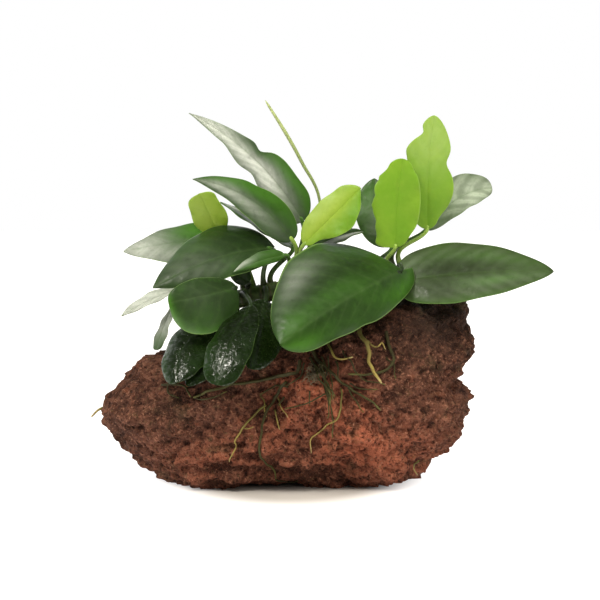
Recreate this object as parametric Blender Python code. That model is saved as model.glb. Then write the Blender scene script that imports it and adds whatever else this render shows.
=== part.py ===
"""Anubias growing on a lump of lava rock, with its leaves, stalks, creeping stem and roots.

Lengths below are millimetres and are turned into metres when the meshes are made.
The frame stands on the stone's flat pads: +X runs along the stone, +Y to its back and +Z up.
"""

import math

import bmesh
import bpy
import numpy as np
from mathutils import Vector

MM = 0.001
GAP = 0.35  # clear space left between pieces that touch
CENTRING = (-1.2, 4.45, 0.0)  # moves the middle of the whole plant's box to the origin

# Stone: its outline seen from the front, around a centre, and its half depth from front to back.
STONE_CENTRE = (-8.0, 33.0)
STONE_HALF_DEPTH = 38.0
STONE_SQUARENESS = 2.6  # 2 is an ellipse, more is boxier
STONE_SHOULDER = 0.3  # how much shallower the top is
STONE_CUTS = 12
STONE_LUMPS = 2.2  # height of the broad lumps on its front and back
STONE_OUTLINE = [
    (60, 26), (61, 35), (55, 40), (59, 46), (63.5, 51), (63, 57), (60.5, 64), (59, 71), (52, 75),
    (41, 75), (20, 70.5), (-8, 67.5), (-28, 64), (-43, 58.5), (-63, 49.5), (-71, 48.5), (-83, 36),
    (-89, 27.5), (-86.5, 20), (-78.5, 10.5), (-67, 1), (-59, -4), (-37, -4), (-28, 0.5), (-10, 1),
    (0, -4), (20, -4), (37, -1), (48, 8), (56, 16),
]

# Creeping stem (rhizome), lying along the top of the stone.
RHIZOME_PATH = [
    (-44, 2, 68.5), (-36, 0, 71), (-27, -1, 73.5), (-18, 0, 75), (-8, 2, 76), (4, 3, 77),
    (16, 1, 79), (26, -1, 81), (34, -2, 84),
]
RHIZOME_RADIUS = 3.9

# Stalks and blades.
STALK_FOOT_RADIUS = 1.3
STALK_TOP_RADIUS = 0.9
BLADE_THICKNESS = 0.6
BLADE_GRID = (8, 4)  # faces along and across
BLADE_START = 0.03  # share of the midrib where the flat blade begins
BLADE_END = 0.985


def leaf(base, tip, bow, face, half, fold, arch, full, foot, lean, pull=(12, 8)):
    """The facts of one leaf.

    base, tip   ends of the midrib
    bow         how far the middle of the midrib leaves the straight line
    face        the way that the upper side looks
    half        widths of the left and right halves
    fold, arch  degrees: how far each half rises from the midrib, and how far it then bends back
    full        roundness at the base and at the tip: a smaller number is blunter
    foot, lean  place of the stalk's foot along X, and its angle from upright towards the front
    pull        how far the stalk runs straight at its foot and at the blade
    """
    return dict(base=base, tip=tip, bow=bow, face=face, half=half, fold=fold, arch=arch,
                full=full, foot=foot, lean=lean, pull=pull)


LEAVES = {
    "01": leaf((-34, 14, 95), (-79, 8, 90), (0, 0, 1), (-0.1, -0.62, 0.78), (12, 11), 6, 20,
               (0.5, 0.85), -30, -30, (10, 10)),
    "02": leaf((-51, 9, 77), (-79.5, 0, 65), (0, 0, 1.2), (0.2, -0.45, 0.9), (2.5, 4.2), 10, 20,
               (1.0, 0.8), -38, -35, (5, 5)),
    "03": leaf((-58, 13, 70), (-65.5, 2, 51), (-0.8, 0, 0), (-0.7, -0.7, 0.3), (3.5, 3.5), 10, 20,
               (0.9, 0.3), -41, -45, (6, 6)),
    "04": leaf((-19.5, -5, 93), (-65.5, -20, 79), (0, -2, 3.5), (-0.2, -0.75, 0.65), (9, 20.5), 0, 30,
               (0.42, 0.9), -22, 0, (8, 4)),
    "05": leaf((-33.5, -20, 79), (-58.8, -32, 75), (0, -2, 0), (-0.25, -0.93, 0.2), (15, 6.5), 0, 22,
               (0.38, 0.38), -34, 40, (4, 4)),
    "06": leaf((-41, -15, 68), (-55, -39, 45), (-5, -1, 1), (-0.35, -0.85, 0.4), (11, 9), 0, 35,
               (0.45, 0.4), -38, 50, (4, 4)),
    "07": leaf((-27, -22, 72.5), (-39.5, -48, 45.5), (-1, -4, 2), (-0.3, -0.85, 0.4), (9, 9.5), 0, 20,
               (0.5, 0.35), -30, 62, (4, 4)),
    "08": leaf((-14, -12, 91), (-34, -18, 85), (0, 0, 1), (0, -0.9, 0.5), (2.5, 3.8), 10, 30,
               (0.5, 0.9), -13, 38, (8, 3)),
    "09": leaf((-40.5, 8.3, 97), (-48, 2.3, 114), (0, 0, 0), (-0.2, -1, 0.2), (6.3, 6), 14, 0,
               (0.4, 0.22), -26, -15, (14, 8)),
    "10": leaf((-11, -4, 96), (-50, -12, 121), (2.8, 0, 4.2), (-0.3, -0.75, 0.6), (7.5, 7.5), 10, 10,
               (0.45, 0.9), -10, 15, (12, 8)),
    "11": leaf((-11, 8, 92), (-40, 8, 110), (0.3, 0, 0.5), (0.5, -0.15, 0.85), (9, 9), 6, 10,
               (0.5, 0.9), -19, -20, (7, 5)),
    "12": leaf((-7, 10, 102), (-52, 2, 146), (3.6, 0, 3), (0.1, -0.8, 0.5), (8, 8.5), 10, 10,
               (0.4, 1.05), -8, -25, (12, 8)),
    "13": leaf((-37, -24.7, 56.4), (-51.5, -37.5, 43.3), (0, 0, 2), (-0.2, -0.8, 0.6), (6, 6), 0, 30,
               (0.5, 0.6), -34, 80, (12, 5)),
    "14": leaf((-6.4, -6, 94.6), (16, -7, 117), (0, 0, 0), (-0.3, -0.8, 0.3), (8, 9), 10, 10,
               (0.45, 0.5), -6, 20, (8, 6)),
    "15": leaf((32, -14, 85), (-15.6, -47, 61), (0, -5.5, 3), (-0.15, -0.93, 0.35), (14, 32.5), -8, 25,
               (0.42, 0.48), 33, 50, (3, 4)),
    "16": leaf((-5, 3, 90), (17.4, 3, 98.6), (0, 0, 2), (0, -0.3, 0.95), (8, 8), 10, 10,
               (0.5, 0.9), -2, -10, (6, 5)),
    "17": leaf((29, 14, 92), (22.5, 26, 118), (-3, 0, 0), (-0.3, -0.9, 0.2), (8.5, 8.5), 10, 10,
               (0.5, 0.7), 22, -35, (6, 5)),
    "18": leaf((43, 10, 98.6), (69.5, 14, 115), (-1, 0, 4), (0, -0.7, 0.7), (10, 7), 10, 10,
               (0.5, 0.42), 30, -30, (10, 6)),
    "19": leaf((30, -3, 93), (33, 1, 128), (-1, 0, 0), (-0.1, -0.95, 0.1), (9.5, 9.5), 10, 10,
               (0.45, 0.5), 28, 5, (4, 3)),
    "20": leaf((43, 4, 99.5), (45.4, 4, 145), (-1, 0, 0), (0, -1, 0.1), (9, 10), 8, 10,
               (0.5, 0.6), 33, -8, (8, 6)),
    "21": leaf((32, -9, 80.5), (91.5, -16, 85), (-1, 0, 1.5), (0.1, -0.75, 0.65), (16, 13), 5, 20,
               (0.36, 0.75), 26, 55, (2, 2)),
    "22": leaf((-21.5, -12, 73), (-26.5, -36, 49.5), (0, -3, 2), (0.2, -0.9, 0.4), (11, 7), 0, 20,
               (0.32, 0.45), -22, 60, (4, 4)),
    "23": leaf((-28.5, -5, 79), (-36, -5, 86), (0, 0, 0), (-0.2, -0.9, 0.3), (3.5, 4), 5, 20,
               (0.45, 0.6), -28, 10, (1, 1)),
}
YOUNG_LEAVES = ("09", "14", "19", "20")

# New leaf, still rolled up in a thin spear.
SPEAR_PATH = [(1, 7, 82), (1, 13, 92), (-0.5, 14, 112), (-7, 14, 125), (-13, 14, 136), (-22, 14, 150.5)]
SPEAR_RADII = [0.55, 0.55, 0.6, 0.7, 0.75, 0.5]


ROOT_STEP = 3.6
ROOT_CLEARANCE = 0.8  # keeps the straight runs of a root off the stone's flat faces


def root(points, thick, thin, lift=0.0):
    """A root: its (x, z) points on the front, its radius at each end and its height off the stone."""
    return dict(points=points, thick=thick, thin=thin, lift=lift)


ROOTS = {
    "yellow_thick": root([(15, 64), (17, 61), (20, 58), (22, 54), (23.5, 49.5), (25, 44)], 1.2, 0.6, 1.2),
    "right_loop": root([(29.5, 66), (32, 61.5), (33, 57), (32, 52.5), (28.5, 49.7), (21, 48.5), (13, 49)],
                       0.7, 0.45),
    "right_slant": root([(-2, 60), (1, 55), (6, 49), (12.5, 43.5), (22, 36), (25, 33)], 0.75, 0.4),
    "yellow_bend": root([(9.5, 42.5), (9, 38), (5, 30.5), (-2, 23), (-3.5, 20), (-3.5, 15)], 0.6, 0.35),
    "centre_down": root([(-3.5, 57), (-0.5, 51.5), (3, 45), (4, 41), (3, 35.5)], 0.6, 0.4),
    "left_run": root([(-8, 55.5), (-10, 49.5), (-19, 48), (-35, 44), (-43, 41), (-50, 38)], 0.8, 0.5),
    "fork_yellow": root([(-24, 35), (-27.5, 31.5), (-33, 22), (-33.5, 19), (-36, 12)], 0.65, 0.35),
    "fork_dark": root([(-14, 45.5), (-17, 42.5), (-21.5, 36), (-23.5, 27), (-22.5, 15.5), (-17, 6)],
                      0.65, 0.4),
    "fork_pale": root([(-19.5, 33), (-18, 28.5), (-16.5, 24.5)], 0.45, 0.3),
    "left_tip": root([(-64, 42), (-58, 42.5), (-54, 42), (-51.5, 38)], 0.55, 0.35),
    "short_yellow": root([(5, 62.5), (6.2, 57.3), (9.2, 55.2), (13.7, 55.2)], 0.7, 0.45),
}


def clear_scene():
    for obj in list(bpy.data.objects):
        bpy.data.objects.remove(obj, do_unlink=True)


def material(name, colour, roughness):
    made = bpy.data.materials.new(name)
    made.use_nodes = True
    shader = made.node_tree.nodes["Principled BSDF"]
    shader.inputs["Base Color"].default_value = (*colour, 1.0)
    shader.inputs["Roughness"].default_value = roughness
    shader.inputs["Metallic"].default_value = 0.0
    return made


def add_object(name, data, finish):
    made = bpy.data.objects.new(name, data)
    made.location = Vector(CENTRING) * MM
    bpy.context.scene.collection.objects.link(made)
    data.materials.append(finish)
    return made


# ---- Stone -------------------------------------------------------------------------------------


def outline_radius(angle):
    """Distance from the stone's centre to its outline, at an angle in the plane of X and Z."""
    points = np.array(STONE_OUTLINE, float) - STONE_CENTRE
    angles = np.arctan2(points[:, 1], points[:, 0])
    order = np.argsort(angles)
    radii = np.hypot(points[:, 0], points[:, 1])[order]
    return np.interp(angle, angles[order], radii, period=2 * math.pi)


def stone_surface(directions):
    """Points of the stone's surface along unit directions from its centre, in millimetres."""
    dx, dy, dz = np.asarray(directions, float).T
    angle = np.arctan2(dz, dx)
    sharp = outline_radius(angle)
    turns = np.radians(np.linspace(-30, 30, 7))
    soft = np.mean([outline_radius(angle + turn) for turn in turns], axis=0)
    side = np.abs(dy) ** 1.5
    radius = sharp * (1 - side) + soft * side
    power = STONE_SQUARENESS
    across = np.hypot(dx, dz) / radius
    depth = STONE_HALF_DEPTH * (1 - STONE_SHOULDER * np.clip(dz, 0, 1))
    reach = (across**power + (np.abs(dy) / depth) ** power) ** (-1 / power)
    x, y, z = directions.T * reach
    lumps = np.sin(x / 6.1 + 1.3) * np.sin(z / 5.3 + 0.4) + np.sin(y / 5.7 + x / 9.0) * np.cos(z / 7.9)
    hollow = 4.0 * np.exp(-((x + 14) ** 2 + (z - 4) ** 2) / 160) * (dy < 0)
    reach = reach + (STONE_LUMPS * lumps - hollow) * np.abs(dy) ** 0.7
    x, y, z = directions.T * reach
    x = x + STONE_CENTRE[0]
    z = z + STONE_CENTRE[1]
    knob = np.clip((x - 15) / 35, 0, 1) * np.clip((z - 40) / 25, 0, 1)
    return np.stack([x, y + 7 * knob, np.maximum(z, 0)], axis=1)


def stone_front(x, z):
    """The point of the stone's front face seen at (x, z), and the way out of the stone there."""
    across = np.hypot(x - STONE_CENTRE[0], z - STONE_CENTRE[1])
    edge = outline_radius(math.atan2(z - STONE_CENTRE[1], x - STONE_CENTRE[0]))
    share = min(across / edge, 0.985)
    power = STONE_SQUARENESS
    y = -STONE_HALF_DEPTH * (1 - share**power) ** (1 / power)
    out = np.array([x - STONE_CENTRE[0], y, z - STONE_CENTRE[1]])
    out /= np.linalg.norm(out)
    return stone_surface(out[None])[0], out


def make_stone(finish):
    """A cube cut into a grid and blown up onto the stone's surface."""
    mesh = bpy.data.meshes.new("stone")
    work = bmesh.new()
    bmesh.ops.create_cube(work, size=2.0)
    bmesh.ops.subdivide_edges(work, edges=work.edges[:], cuts=STONE_CUTS, use_grid_fill=True)
    corners = np.array([vert.co[:] for vert in work.verts])
    corners = np.tan(corners * math.pi / 4)  # spreads the vertices at even angles
    directions = corners / np.linalg.norm(corners, axis=1, keepdims=True)
    for vert, place in zip(work.verts, stone_surface(directions)):
        vert.co = Vector(place) * MM
    bmesh.ops.triangulate(work, faces=work.faces[:])
    work.to_mesh(mesh)
    work.free()
    return add_object("stone", mesh, finish)


# ---- Tubes: the creeping stem, stalks, spear and roots --------------------------------------------


def tube(name, points, radii, finish, sides_step=1):
    """A closed round tube through the points, with a radius in millimetres at each."""
    curve = bpy.data.curves.new(name, "CURVE")
    curve.dimensions = "3D"
    curve.bevel_depth = MM
    curve.bevel_resolution = sides_step
    curve.use_fill_caps = True
    line = curve.splines.new("POLY")
    line.points.add(len(points) - 1)
    for point, place, radius in zip(line.points, points, radii):
        point.co = (*(np.asarray(place, float) * MM), 1.0)
        point.radius = radius
    line.use_smooth = True
    return add_object(name, curve, finish)


def smooth_path(points, count):
    """Points evenly spaced along a Catmull-Rom curve through the given ones."""
    points = np.array(points, float)
    padded = np.vstack([2 * points[0] - points[1], points, 2 * points[-1] - points[-2]])
    fine = []
    for a, b, c, d in zip(padded, padded[1:], padded[2:], padded[3:]):
        for t in np.linspace(0, 1, 12, endpoint=False):
            fine.append(0.5 * (2 * b + (c - a) * t + (2 * a - 5 * b + 4 * c - d) * t**2
                               + (3 * b - a - 3 * c + d) * t**3))
    fine = np.array([*fine, points[-1]])
    run = np.concatenate([[0], np.cumsum(np.linalg.norm(np.diff(fine, axis=0), axis=1))])
    wanted = np.linspace(0, run[-1], count)
    return np.stack([np.interp(wanted, run, fine[:, axis]) for axis in range(3)], axis=1)


def rhizome_at(x):
    """Centre of the creeping stem at x, and the direction that it runs in there."""
    path = smooth_path(RHIZOME_PATH, 200)
    nearest = int(np.argmin(np.abs(path[:, 0] - x)))
    nearest = min(max(nearest, 1), len(path) - 2)
    run = path[nearest + 1] - path[nearest - 1]
    return path[nearest], run / np.linalg.norm(run)


def make_rhizome(finish):
    """The creeping stem, narrower at its two ends."""
    path = smooth_path(RHIZOME_PATH, 18)
    radii = np.full(len(path), RHIZOME_RADIUS)
    radii[0] = radii[-1] = 0.6 * RHIZOME_RADIUS
    return tube("rhizome", path, radii, finish, sides_step=2)


def make_root(name, facts, finish):
    """A root that follows the stone's front, a little off its surface."""
    flat = [(x, 0.0, z) for x, z in facts["points"]]
    length = sum(math.dist(a, b) for a, b in zip(flat, flat[1:]))
    path = smooth_path(flat, max(5, int(length / ROOT_STEP)))
    radii = np.linspace(facts["thick"], facts["thin"], len(path))
    places = []
    for (x, _, z), radius in zip(path, radii):
        surface, out = stone_front(x, z)
        places.append(surface + out * (radius + ROOT_CLEARANCE + facts["lift"]))
    return tube(name, places, radii, finish)


# ---- Leaves --------------------------------------------------------------------------------------


def unit(vectors):
    return vectors / np.linalg.norm(vectors, axis=-1, keepdims=True)


def midrib(facts, u):
    """Point and direction of the midrib at the shares u of its length: a quadratic Bezier curve."""
    base, tip, bow = (np.array(facts[key], float) for key in ("base", "tip", "bow"))
    bend = (base + tip) / 2 + 2 * bow
    u = np.asarray(u, float)[..., None]
    place = (1 - u) ** 2 * base + 2 * u * (1 - u) * bend + u**2 * tip
    return place, unit(2 * (1 - u) * (bend - base) + 2 * u * (tip - bend))


def blade_surface(facts, u, v):
    """Points of the blade: u runs from base to tip, v from the left margin (-1) to the right one (1).

    Each half is an arc. It leaves the midrib at the fold angle and bends back by the arch angle.
    """
    place, along = midrib(facts, u)
    across = unit(np.cross(along, np.array(facts["face"], float) + 0 * along))
    up = np.cross(across, along)
    round_base, round_tip = facts["full"]
    widest = round_base / (round_base + round_tip)
    most = widest**round_base * (1 - widest) ** round_tip
    left, right = facts["half"]
    half = np.where(v > 0, right, left) * u**round_base * (1 - u) ** round_tip / most
    fold = math.radians(facts["fold"])
    arch = math.radians(max(facts["arch"], 0.1))
    share = np.abs(v)
    side = (math.sin(fold) - np.sin(fold - arch * share)) / arch
    rise = (np.cos(fold - arch * share) - math.cos(fold)) / arch
    offset = across * (half * side * np.sign(v))[..., None] + up * (half * rise)[..., None]
    return place + offset


def make_blade(name, facts, finish):
    """A flat grid laid over the blade's surface and given its thickness."""
    mesh = bpy.data.meshes.new(name)
    work = bmesh.new()
    bmesh.ops.create_grid(work, x_segments=BLADE_GRID[0], y_segments=BLADE_GRID[1], size=1.0)
    grid = np.array([vert.co[:] for vert in work.verts])
    u = BLADE_START + (BLADE_END - BLADE_START) * (0.5 - 0.5 * np.cos(math.pi * (grid[:, 0] + 1) / 2))
    for vert, place in zip(work.verts, blade_surface(facts, u, grid[:, 1])):
        vert.co = Vector(place) * MM
    work.to_mesh(mesh)
    work.free()
    mesh.shade_smooth()
    blade = add_object(name, mesh, finish)
    body = blade.modifiers.new("Thickness", "SOLIDIFY")
    body.thickness = BLADE_THICKNESS * MM
    body.offset = 0.0
    return blade


def stalk_path(facts, count):
    """Centre line of a stalk, from the creeping stem to the blade: a cubic Bezier curve."""
    centre, run = rhizome_at(facts["foot"])
    lean = math.radians(facts["lean"])
    out = np.array([0.0, -math.sin(lean), math.cos(lean)])
    out = unit(out - run * out.dot(run))
    top, along = midrib(facts, np.array(BLADE_START))
    start = centre + out * (RHIZOME_RADIUS + GAP)
    end = top - along * GAP
    straight_foot, straight_top = facts["pull"]
    a, b = start + out * straight_foot, end - along * straight_top
    t = np.linspace(0, 1, count)[:, None]
    return (1 - t) ** 3 * start + 3 * t * (1 - t) ** 2 * a + 3 * t**2 * (1 - t) * b + t**3 * end


def make_stalk(name, facts, finish):
    path = stalk_path(facts, 7)
    radii = np.linspace(STALK_FOOT_RADIUS, STALK_TOP_RADIUS, len(path))
    return tube(name, path, radii, finish)


def main():
    clear_scene()
    lava = material("Lava rock", (0.20, 0.075, 0.05), 0.9)
    dark_leaf = material("Mature leaf", (0.03, 0.11, 0.02), 0.35)
    young_leaf = material("Young leaf", (0.33, 0.50, 0.06), 0.4)
    stalk_green = material("Stalk", (0.10, 0.20, 0.04), 0.4)
    stem_green = material("Creeping stem", (0.06, 0.10, 0.03), 0.5)
    root_green = material("Root", (0.16, 0.18, 0.05), 0.6)
    make_stone(lava)
    make_rhizome(stem_green)
    for number, facts in LEAVES.items():
        young = number in YOUNG_LEAVES
        make_blade(f"leaf_{number}_blade", facts, young_leaf if young else dark_leaf)
        make_stalk(f"leaf_{number}_stalk", facts, stalk_green)
    tube("leaf_spear", smooth_path(SPEAR_PATH, 12), np.interp(
        np.linspace(0, 1, 12), np.linspace(0, 1, len(SPEAR_RADII)), SPEAR_RADII), young_leaf)
    for name, facts in ROOTS.items():
        make_root(f"root_{name}", facts, root_green)


main()
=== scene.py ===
# %% [markdown]
# # Anubias on lava rock
# A small water plant that clings to a lump of lava rock. The real thing is a heavy porous stone, a
# green creeping stem along its top, some two dozen leaves on thin stalks, and roots that feel their
# way down the rock. Each of these is made below as a surface worked out with numpy: a function of two
# parameters on a grid, written into a mesh in one go. Working by formula keeps every dimension in
# sight, and the same few functions serve all the leaves, stalks and roots.

# %% Load the frame
import itertools
import math

import bpy
import numpy as np
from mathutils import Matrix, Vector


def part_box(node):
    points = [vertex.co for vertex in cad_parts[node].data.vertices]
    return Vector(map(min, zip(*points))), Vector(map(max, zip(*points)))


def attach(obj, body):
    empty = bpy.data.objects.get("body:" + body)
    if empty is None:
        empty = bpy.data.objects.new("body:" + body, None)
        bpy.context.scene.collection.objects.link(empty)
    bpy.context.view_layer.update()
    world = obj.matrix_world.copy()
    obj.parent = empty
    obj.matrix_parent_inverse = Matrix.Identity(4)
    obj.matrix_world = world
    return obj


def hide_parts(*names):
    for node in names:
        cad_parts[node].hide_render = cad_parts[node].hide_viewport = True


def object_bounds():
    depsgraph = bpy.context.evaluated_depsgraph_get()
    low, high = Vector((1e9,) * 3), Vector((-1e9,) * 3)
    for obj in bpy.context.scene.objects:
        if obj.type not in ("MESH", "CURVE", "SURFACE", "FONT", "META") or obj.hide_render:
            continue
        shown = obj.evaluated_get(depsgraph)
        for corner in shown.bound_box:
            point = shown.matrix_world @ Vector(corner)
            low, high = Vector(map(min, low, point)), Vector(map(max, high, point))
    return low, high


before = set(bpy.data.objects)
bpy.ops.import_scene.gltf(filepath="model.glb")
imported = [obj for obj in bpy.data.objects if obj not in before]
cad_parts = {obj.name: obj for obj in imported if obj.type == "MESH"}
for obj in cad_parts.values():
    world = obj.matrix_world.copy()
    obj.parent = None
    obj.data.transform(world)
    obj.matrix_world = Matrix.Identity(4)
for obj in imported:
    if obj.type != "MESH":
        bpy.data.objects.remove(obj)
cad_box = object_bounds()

MM = 0.001  # lengths below are millimetres
CENTRING = np.array([-1.2, 4.45, 0.0])  # from the plant's own frame to the frame of the solids
lowest, highest = (np.array(corner) / MM for corner in cad_box)
print("solids span", np.round(highest - lowest, 1), "mm")

# %% [markdown]
# ## From arrays to a mesh
# Blender fills a mesh fastest from flat arrays: all the points, then all the corners of the faces. A
# swept or rolled surface is a grid whose columns close into a ring, with one extra point at each end
# to shut it, so its faces can be numbered by a formula instead of being picked by hand.


# %% Meshes from arrays
def unit(vectors):
    """Each vector divided by its own length."""
    return vectors / np.linalg.norm(vectors, axis=-1, keepdims=True)


def fill_mesh(name, points, quads, triangles):
    """A mesh from points in plant millimetres and from arrays of four- and three-cornered faces."""
    mesh = bpy.data.meshes.new(name)
    corners = np.concatenate([quads.ravel(), triangles.ravel()]).astype(np.int32)
    sizes = np.repeat([4, 3], [len(quads), len(triangles)])
    mesh.vertices.add(len(points))
    mesh.vertices.foreach_set("co", ((points + CENTRING) * MM).astype(np.float32).ravel())
    mesh.loops.add(len(corners))
    mesh.loops.foreach_set("vertex_index", corners)
    mesh.polygons.add(len(sizes))
    mesh.polygons.foreach_set("loop_start", (np.cumsum(sizes) - sizes).astype(np.int32))
    mesh.update(calc_edges=True)
    mesh.validate()
    mesh.polygons.foreach_set("use_smooth", np.ones(len(sizes), bool))
    return mesh


def ring_faces(rows, columns):
    """Faces of a grid whose columns close into a ring, shut by a point before the first row and one
    after the last: corner (row, column) is number row * columns + column."""
    row, column = np.meshgrid(np.arange(rows - 1), np.arange(columns), indexing="ij")
    beside = (column + 1) % columns
    here, there = row * columns, (row + 1) * columns
    quads = np.stack([here + column, there + column, there + beside, here + beside], axis=-1)
    ring = np.arange(columns)
    after = (ring + 1) % columns
    first, last = rows * columns, rows * columns + 1
    end = (rows - 1) * columns
    start_fan = np.stack([np.full(columns, first), ring, after], axis=-1)
    end_fan = np.stack([np.full(columns, last), end + after, end + ring], axis=-1)
    return quads.reshape(-1, 4), np.concatenate([start_fan, end_fan])


def with_ends(grid):
    """The grid's values in one list, followed by the means of its first and last rows."""
    flat = grid.reshape(-1, grid.shape[-1])
    return np.concatenate([flat, grid[0].mean(axis=0)[None], grid[-1].mean(axis=0)[None]])


def add_piece(name, mesh, finish, slot, *nodes):
    """An object at the origin that rides on the plant's one body and stands for the given solids."""
    mesh.materials.append(finish)
    piece = bpy.data.objects.new(name, mesh)
    bpy.context.scene.collection.objects.link(piece)
    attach(piece, "root")
    if nodes:
        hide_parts(*nodes)


def paint(mesh, name, values):
    """Stores up to three numbers a point as a colour attribute that the materials can read."""
    colours = np.ones((len(mesh.vertices), 4), np.float32)
    colours[:, :values.shape[1]] = values
    layer = mesh.color_attributes.new(name=name, type="FLOAT_COLOR", domain="POINT")
    layer.data.foreach_set("color", colours.ravel())


# %% [markdown]
# ## Repeatable randomness
# Rock and skin need irregularity, but the same one each time. A random number is therefore worked out
# from the whole-number cell that a point lies in. Blending the numbers at a cell's eight corners
# gives soft noise, and giving each cell a bubble of its own gives round pits.


# %% Soft noise on arrays
CELL_FACTORS = (73856093, 19349663, 83492791, 97531357)  # for x, y, z and the seed
MIX_FACTORS = (2246822519, 3266489917)
LOW_32_BITS = 0xFFFFFFFF


def cell_value(cells, seed):
    """A number from 0 to 1 for each whole-number cell: its x, y and z times three large numbers,
    mixed twice by shifting and multiplying, and kept to 32 bits."""
    x, y, z = np.moveaxis(np.asarray(cells).astype(np.int64), -1, 0)
    for_x, for_y, for_z, for_seed = CELL_FACTORS
    mixed = (x * for_x ^ y * for_y ^ z * for_z ^ seed * for_seed) & LOW_32_BITS
    mixed = ((mixed ^ mixed >> 15) * MIX_FACTORS[0]) & LOW_32_BITS
    mixed = ((mixed ^ mixed >> 13) * MIX_FACTORS[1]) & LOW_32_BITS
    return (mixed ^ mixed >> 16) / LOW_32_BITS


def soft_noise(points, size, seed):
    """From -1 to 1, changing over about `size` mm: corner values of a cubic lattice, blended along
    each axis with t * t * (3 - 2t)."""
    scaled = points / size
    cell = np.floor(scaled)
    t = scaled - cell
    ease = t * t * (3 - 2 * t)
    total = 0.0
    for corner in itertools.product((0, 1), repeat=3):
        weight = np.prod(np.where(corner, ease, 1 - ease), axis=-1)
        total = total + weight * cell_value(cell + corner, seed)
    return 2 * total - 1


# %% Round pits on arrays
LEAST_BUBBLE, BUBBLE_SPREAD = 0.3, 0.45  # radius in cells: the least, and what chance adds


def pits(points, size, share, seed):
    """From 0 to 1: each lattice cell may hold a bubble with its own centre and radius, and its depth
    is 1 - (distance / radius) squared. The deepest bubble counts."""
    scaled = points / size
    cell = np.floor(scaled)
    deepest = np.zeros(points.shape[:-1])
    for step in itertools.product((-1, 0, 1), repeat=3):
        home = cell + step
        centre = home + np.stack([cell_value(home, seed + axis) for axis in range(3)], axis=-1)
        radius = LEAST_BUBBLE + BUBBLE_SPREAD * cell_value(home, seed + 3)
        held = cell_value(home, seed + 4) < share
        far = np.sum((scaled - centre) ** 2, axis=-1) / radius**2
        deepest = np.maximum(deepest, held * np.clip(1 - far, 0, 1))
    return deepest


# %% [markdown]
# ## Small helpers for materials
# Every finish is a node tree. These helpers only shorten the writing: one adds a node, one does a sum,
# one blends two colours. A socket is set straight on its shader wherever it is the same all over.


# %% Node helpers
class Nodes:
    """Short ways of adding nodes to a tree."""

    def __init__(self, tree):
        self.tree = tree

    def put(self, socket, value):
        """Joins a socket to another one, or sets its number, vector or colour."""
        if isinstance(value, bpy.types.NodeSocket):
            self.tree.links.new(value, socket)
        else:
            socket.default_value = (*value, 1.0) if socket.type == "RGBA" else value

    def node(self, kind, inputs=None, **settings):
        """A node of that kind with its inputs set to numbers or joined to sockets."""
        made = self.tree.nodes.new("ShaderNode" + kind)
        for key, value in settings.items():
            setattr(made, key, value)
        for key, value in (inputs or {}).items():
            self.put(made.inputs[key], value)
        return made

    def sum(self, operation, *values):
        """The result of a Math node."""
        return self.node("Math", dict(enumerate(values)), operation=operation).outputs[0]

    def step(self, value, low, high, bottom=0.0, top=1.0):
        """Bottom up to `low`, top from `high`, and smooth between."""
        inputs = {0: value, 1: low, 2: high, 3: bottom, 4: top}
        return self.node("MapRange", inputs, interpolation_type="SMOOTHSTEP").outputs[0]


# %% Finish helpers
class Finish(Nodes):
    """A material with a Principled shader."""

    def __init__(self, name):
        self.material = bpy.data.materials.new(name)
        self.material.use_nodes = True
        super().__init__(self.material.node_tree)
        self.shader = self.tree.nodes["Principled BSDF"]
        self.place = self.node("TexCoord").outputs["Object"]  # the point, in the object's coordinates

    def blend(self, share, first, second):
        """The first colour, going to the second as share goes from 0 to 1."""
        return self.node("Mix", {0: share, 6: first, 7: second}, data_type="RGBA").outputs[2]

    def layered(self, colour, *layers):
        """A colour with others laid over it one after the other, each by its own share."""
        for share, layer in layers:
            colour = self.blend(share, colour, layer)
        return colour

    def noise(self, size, detail=3.0, roughness=0.55, distortion=0.0):
        """Noise whose features are about `size` millimetres across."""
        inputs = {"Vector": self.place, "Scale": 1 / (size * MM), "Detail": detail,
                  "Roughness": roughness, "Distortion": distortion}
        return self.node("TexNoise", inputs).outputs["Fac"]

    def parts(self, name):
        """The three numbers of a painted attribute."""
        colour = self.node("Attribute", attribute_name=name).outputs["Color"]
        return self.node("SeparateColor", {0: colour}).outputs[:3]

    def bump(self, height, depth, before=None):
        """A bump whose height of 1 is `depth` millimetres."""
        inputs = {"Height": height, "Distance": depth * MM, "Strength": 1.0}
        if before is not None:
            inputs["Normal"] = before
        return self.node("Bump", inputs).outputs[0]

    def set(self, **values):
        """Sets or joins the shader's sockets, with _ for a space in their names."""
        for key, value in values.items():
            self.put(self.shader.inputs[key.replace("_", " ")], value)

    def glow_through(self, share, **inputs):
        """Lets a share of the light pass through: a Translucent shader mixed into the glossy one."""
        through = self.node("BsdfTranslucent", inputs)
        mixed = self.node("MixShader", {0: share, 1: self.shader.outputs[0], 2: through.outputs[0]})
        self.put(self.tree.nodes["Material Output"].inputs["Surface"], mixed.outputs[0])


# %% [markdown]
# ## Camera and light
# The plant is seen from the front, from a little above, through a long lens, which keeps the leaves
# near the eye from looking too big. A large soft box above and in front lights it evenly, and a weak
# one at the right fills the shadows. The small one at the left is the only one that shows as a
# reflection, so the wet leaves glint in one place and the dry ones stay calm. The room is bright
# behind the plant and dark in front, which draws pale sheens on leaves that lie level.

# %% Camera
CAMERA_TARGET = np.array([-8.0, 0.0, 71.5]) + CENTRING
CAMERA_RISE = math.radians(8)
CAMERA_DISTANCE = 900.0
CAMERA_LENS = 135.0
SENSOR_WIDTH = 36.0


def aim(thing, place, target):
    """Puts a camera or a light at a place, looking at the target."""
    back = place - target
    thing.location = place * MM
    thing.rotation_euler = (math.atan2(math.hypot(back[0], back[1]), back[2]), 0,
                            math.atan2(back[0], -back[1]))


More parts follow.
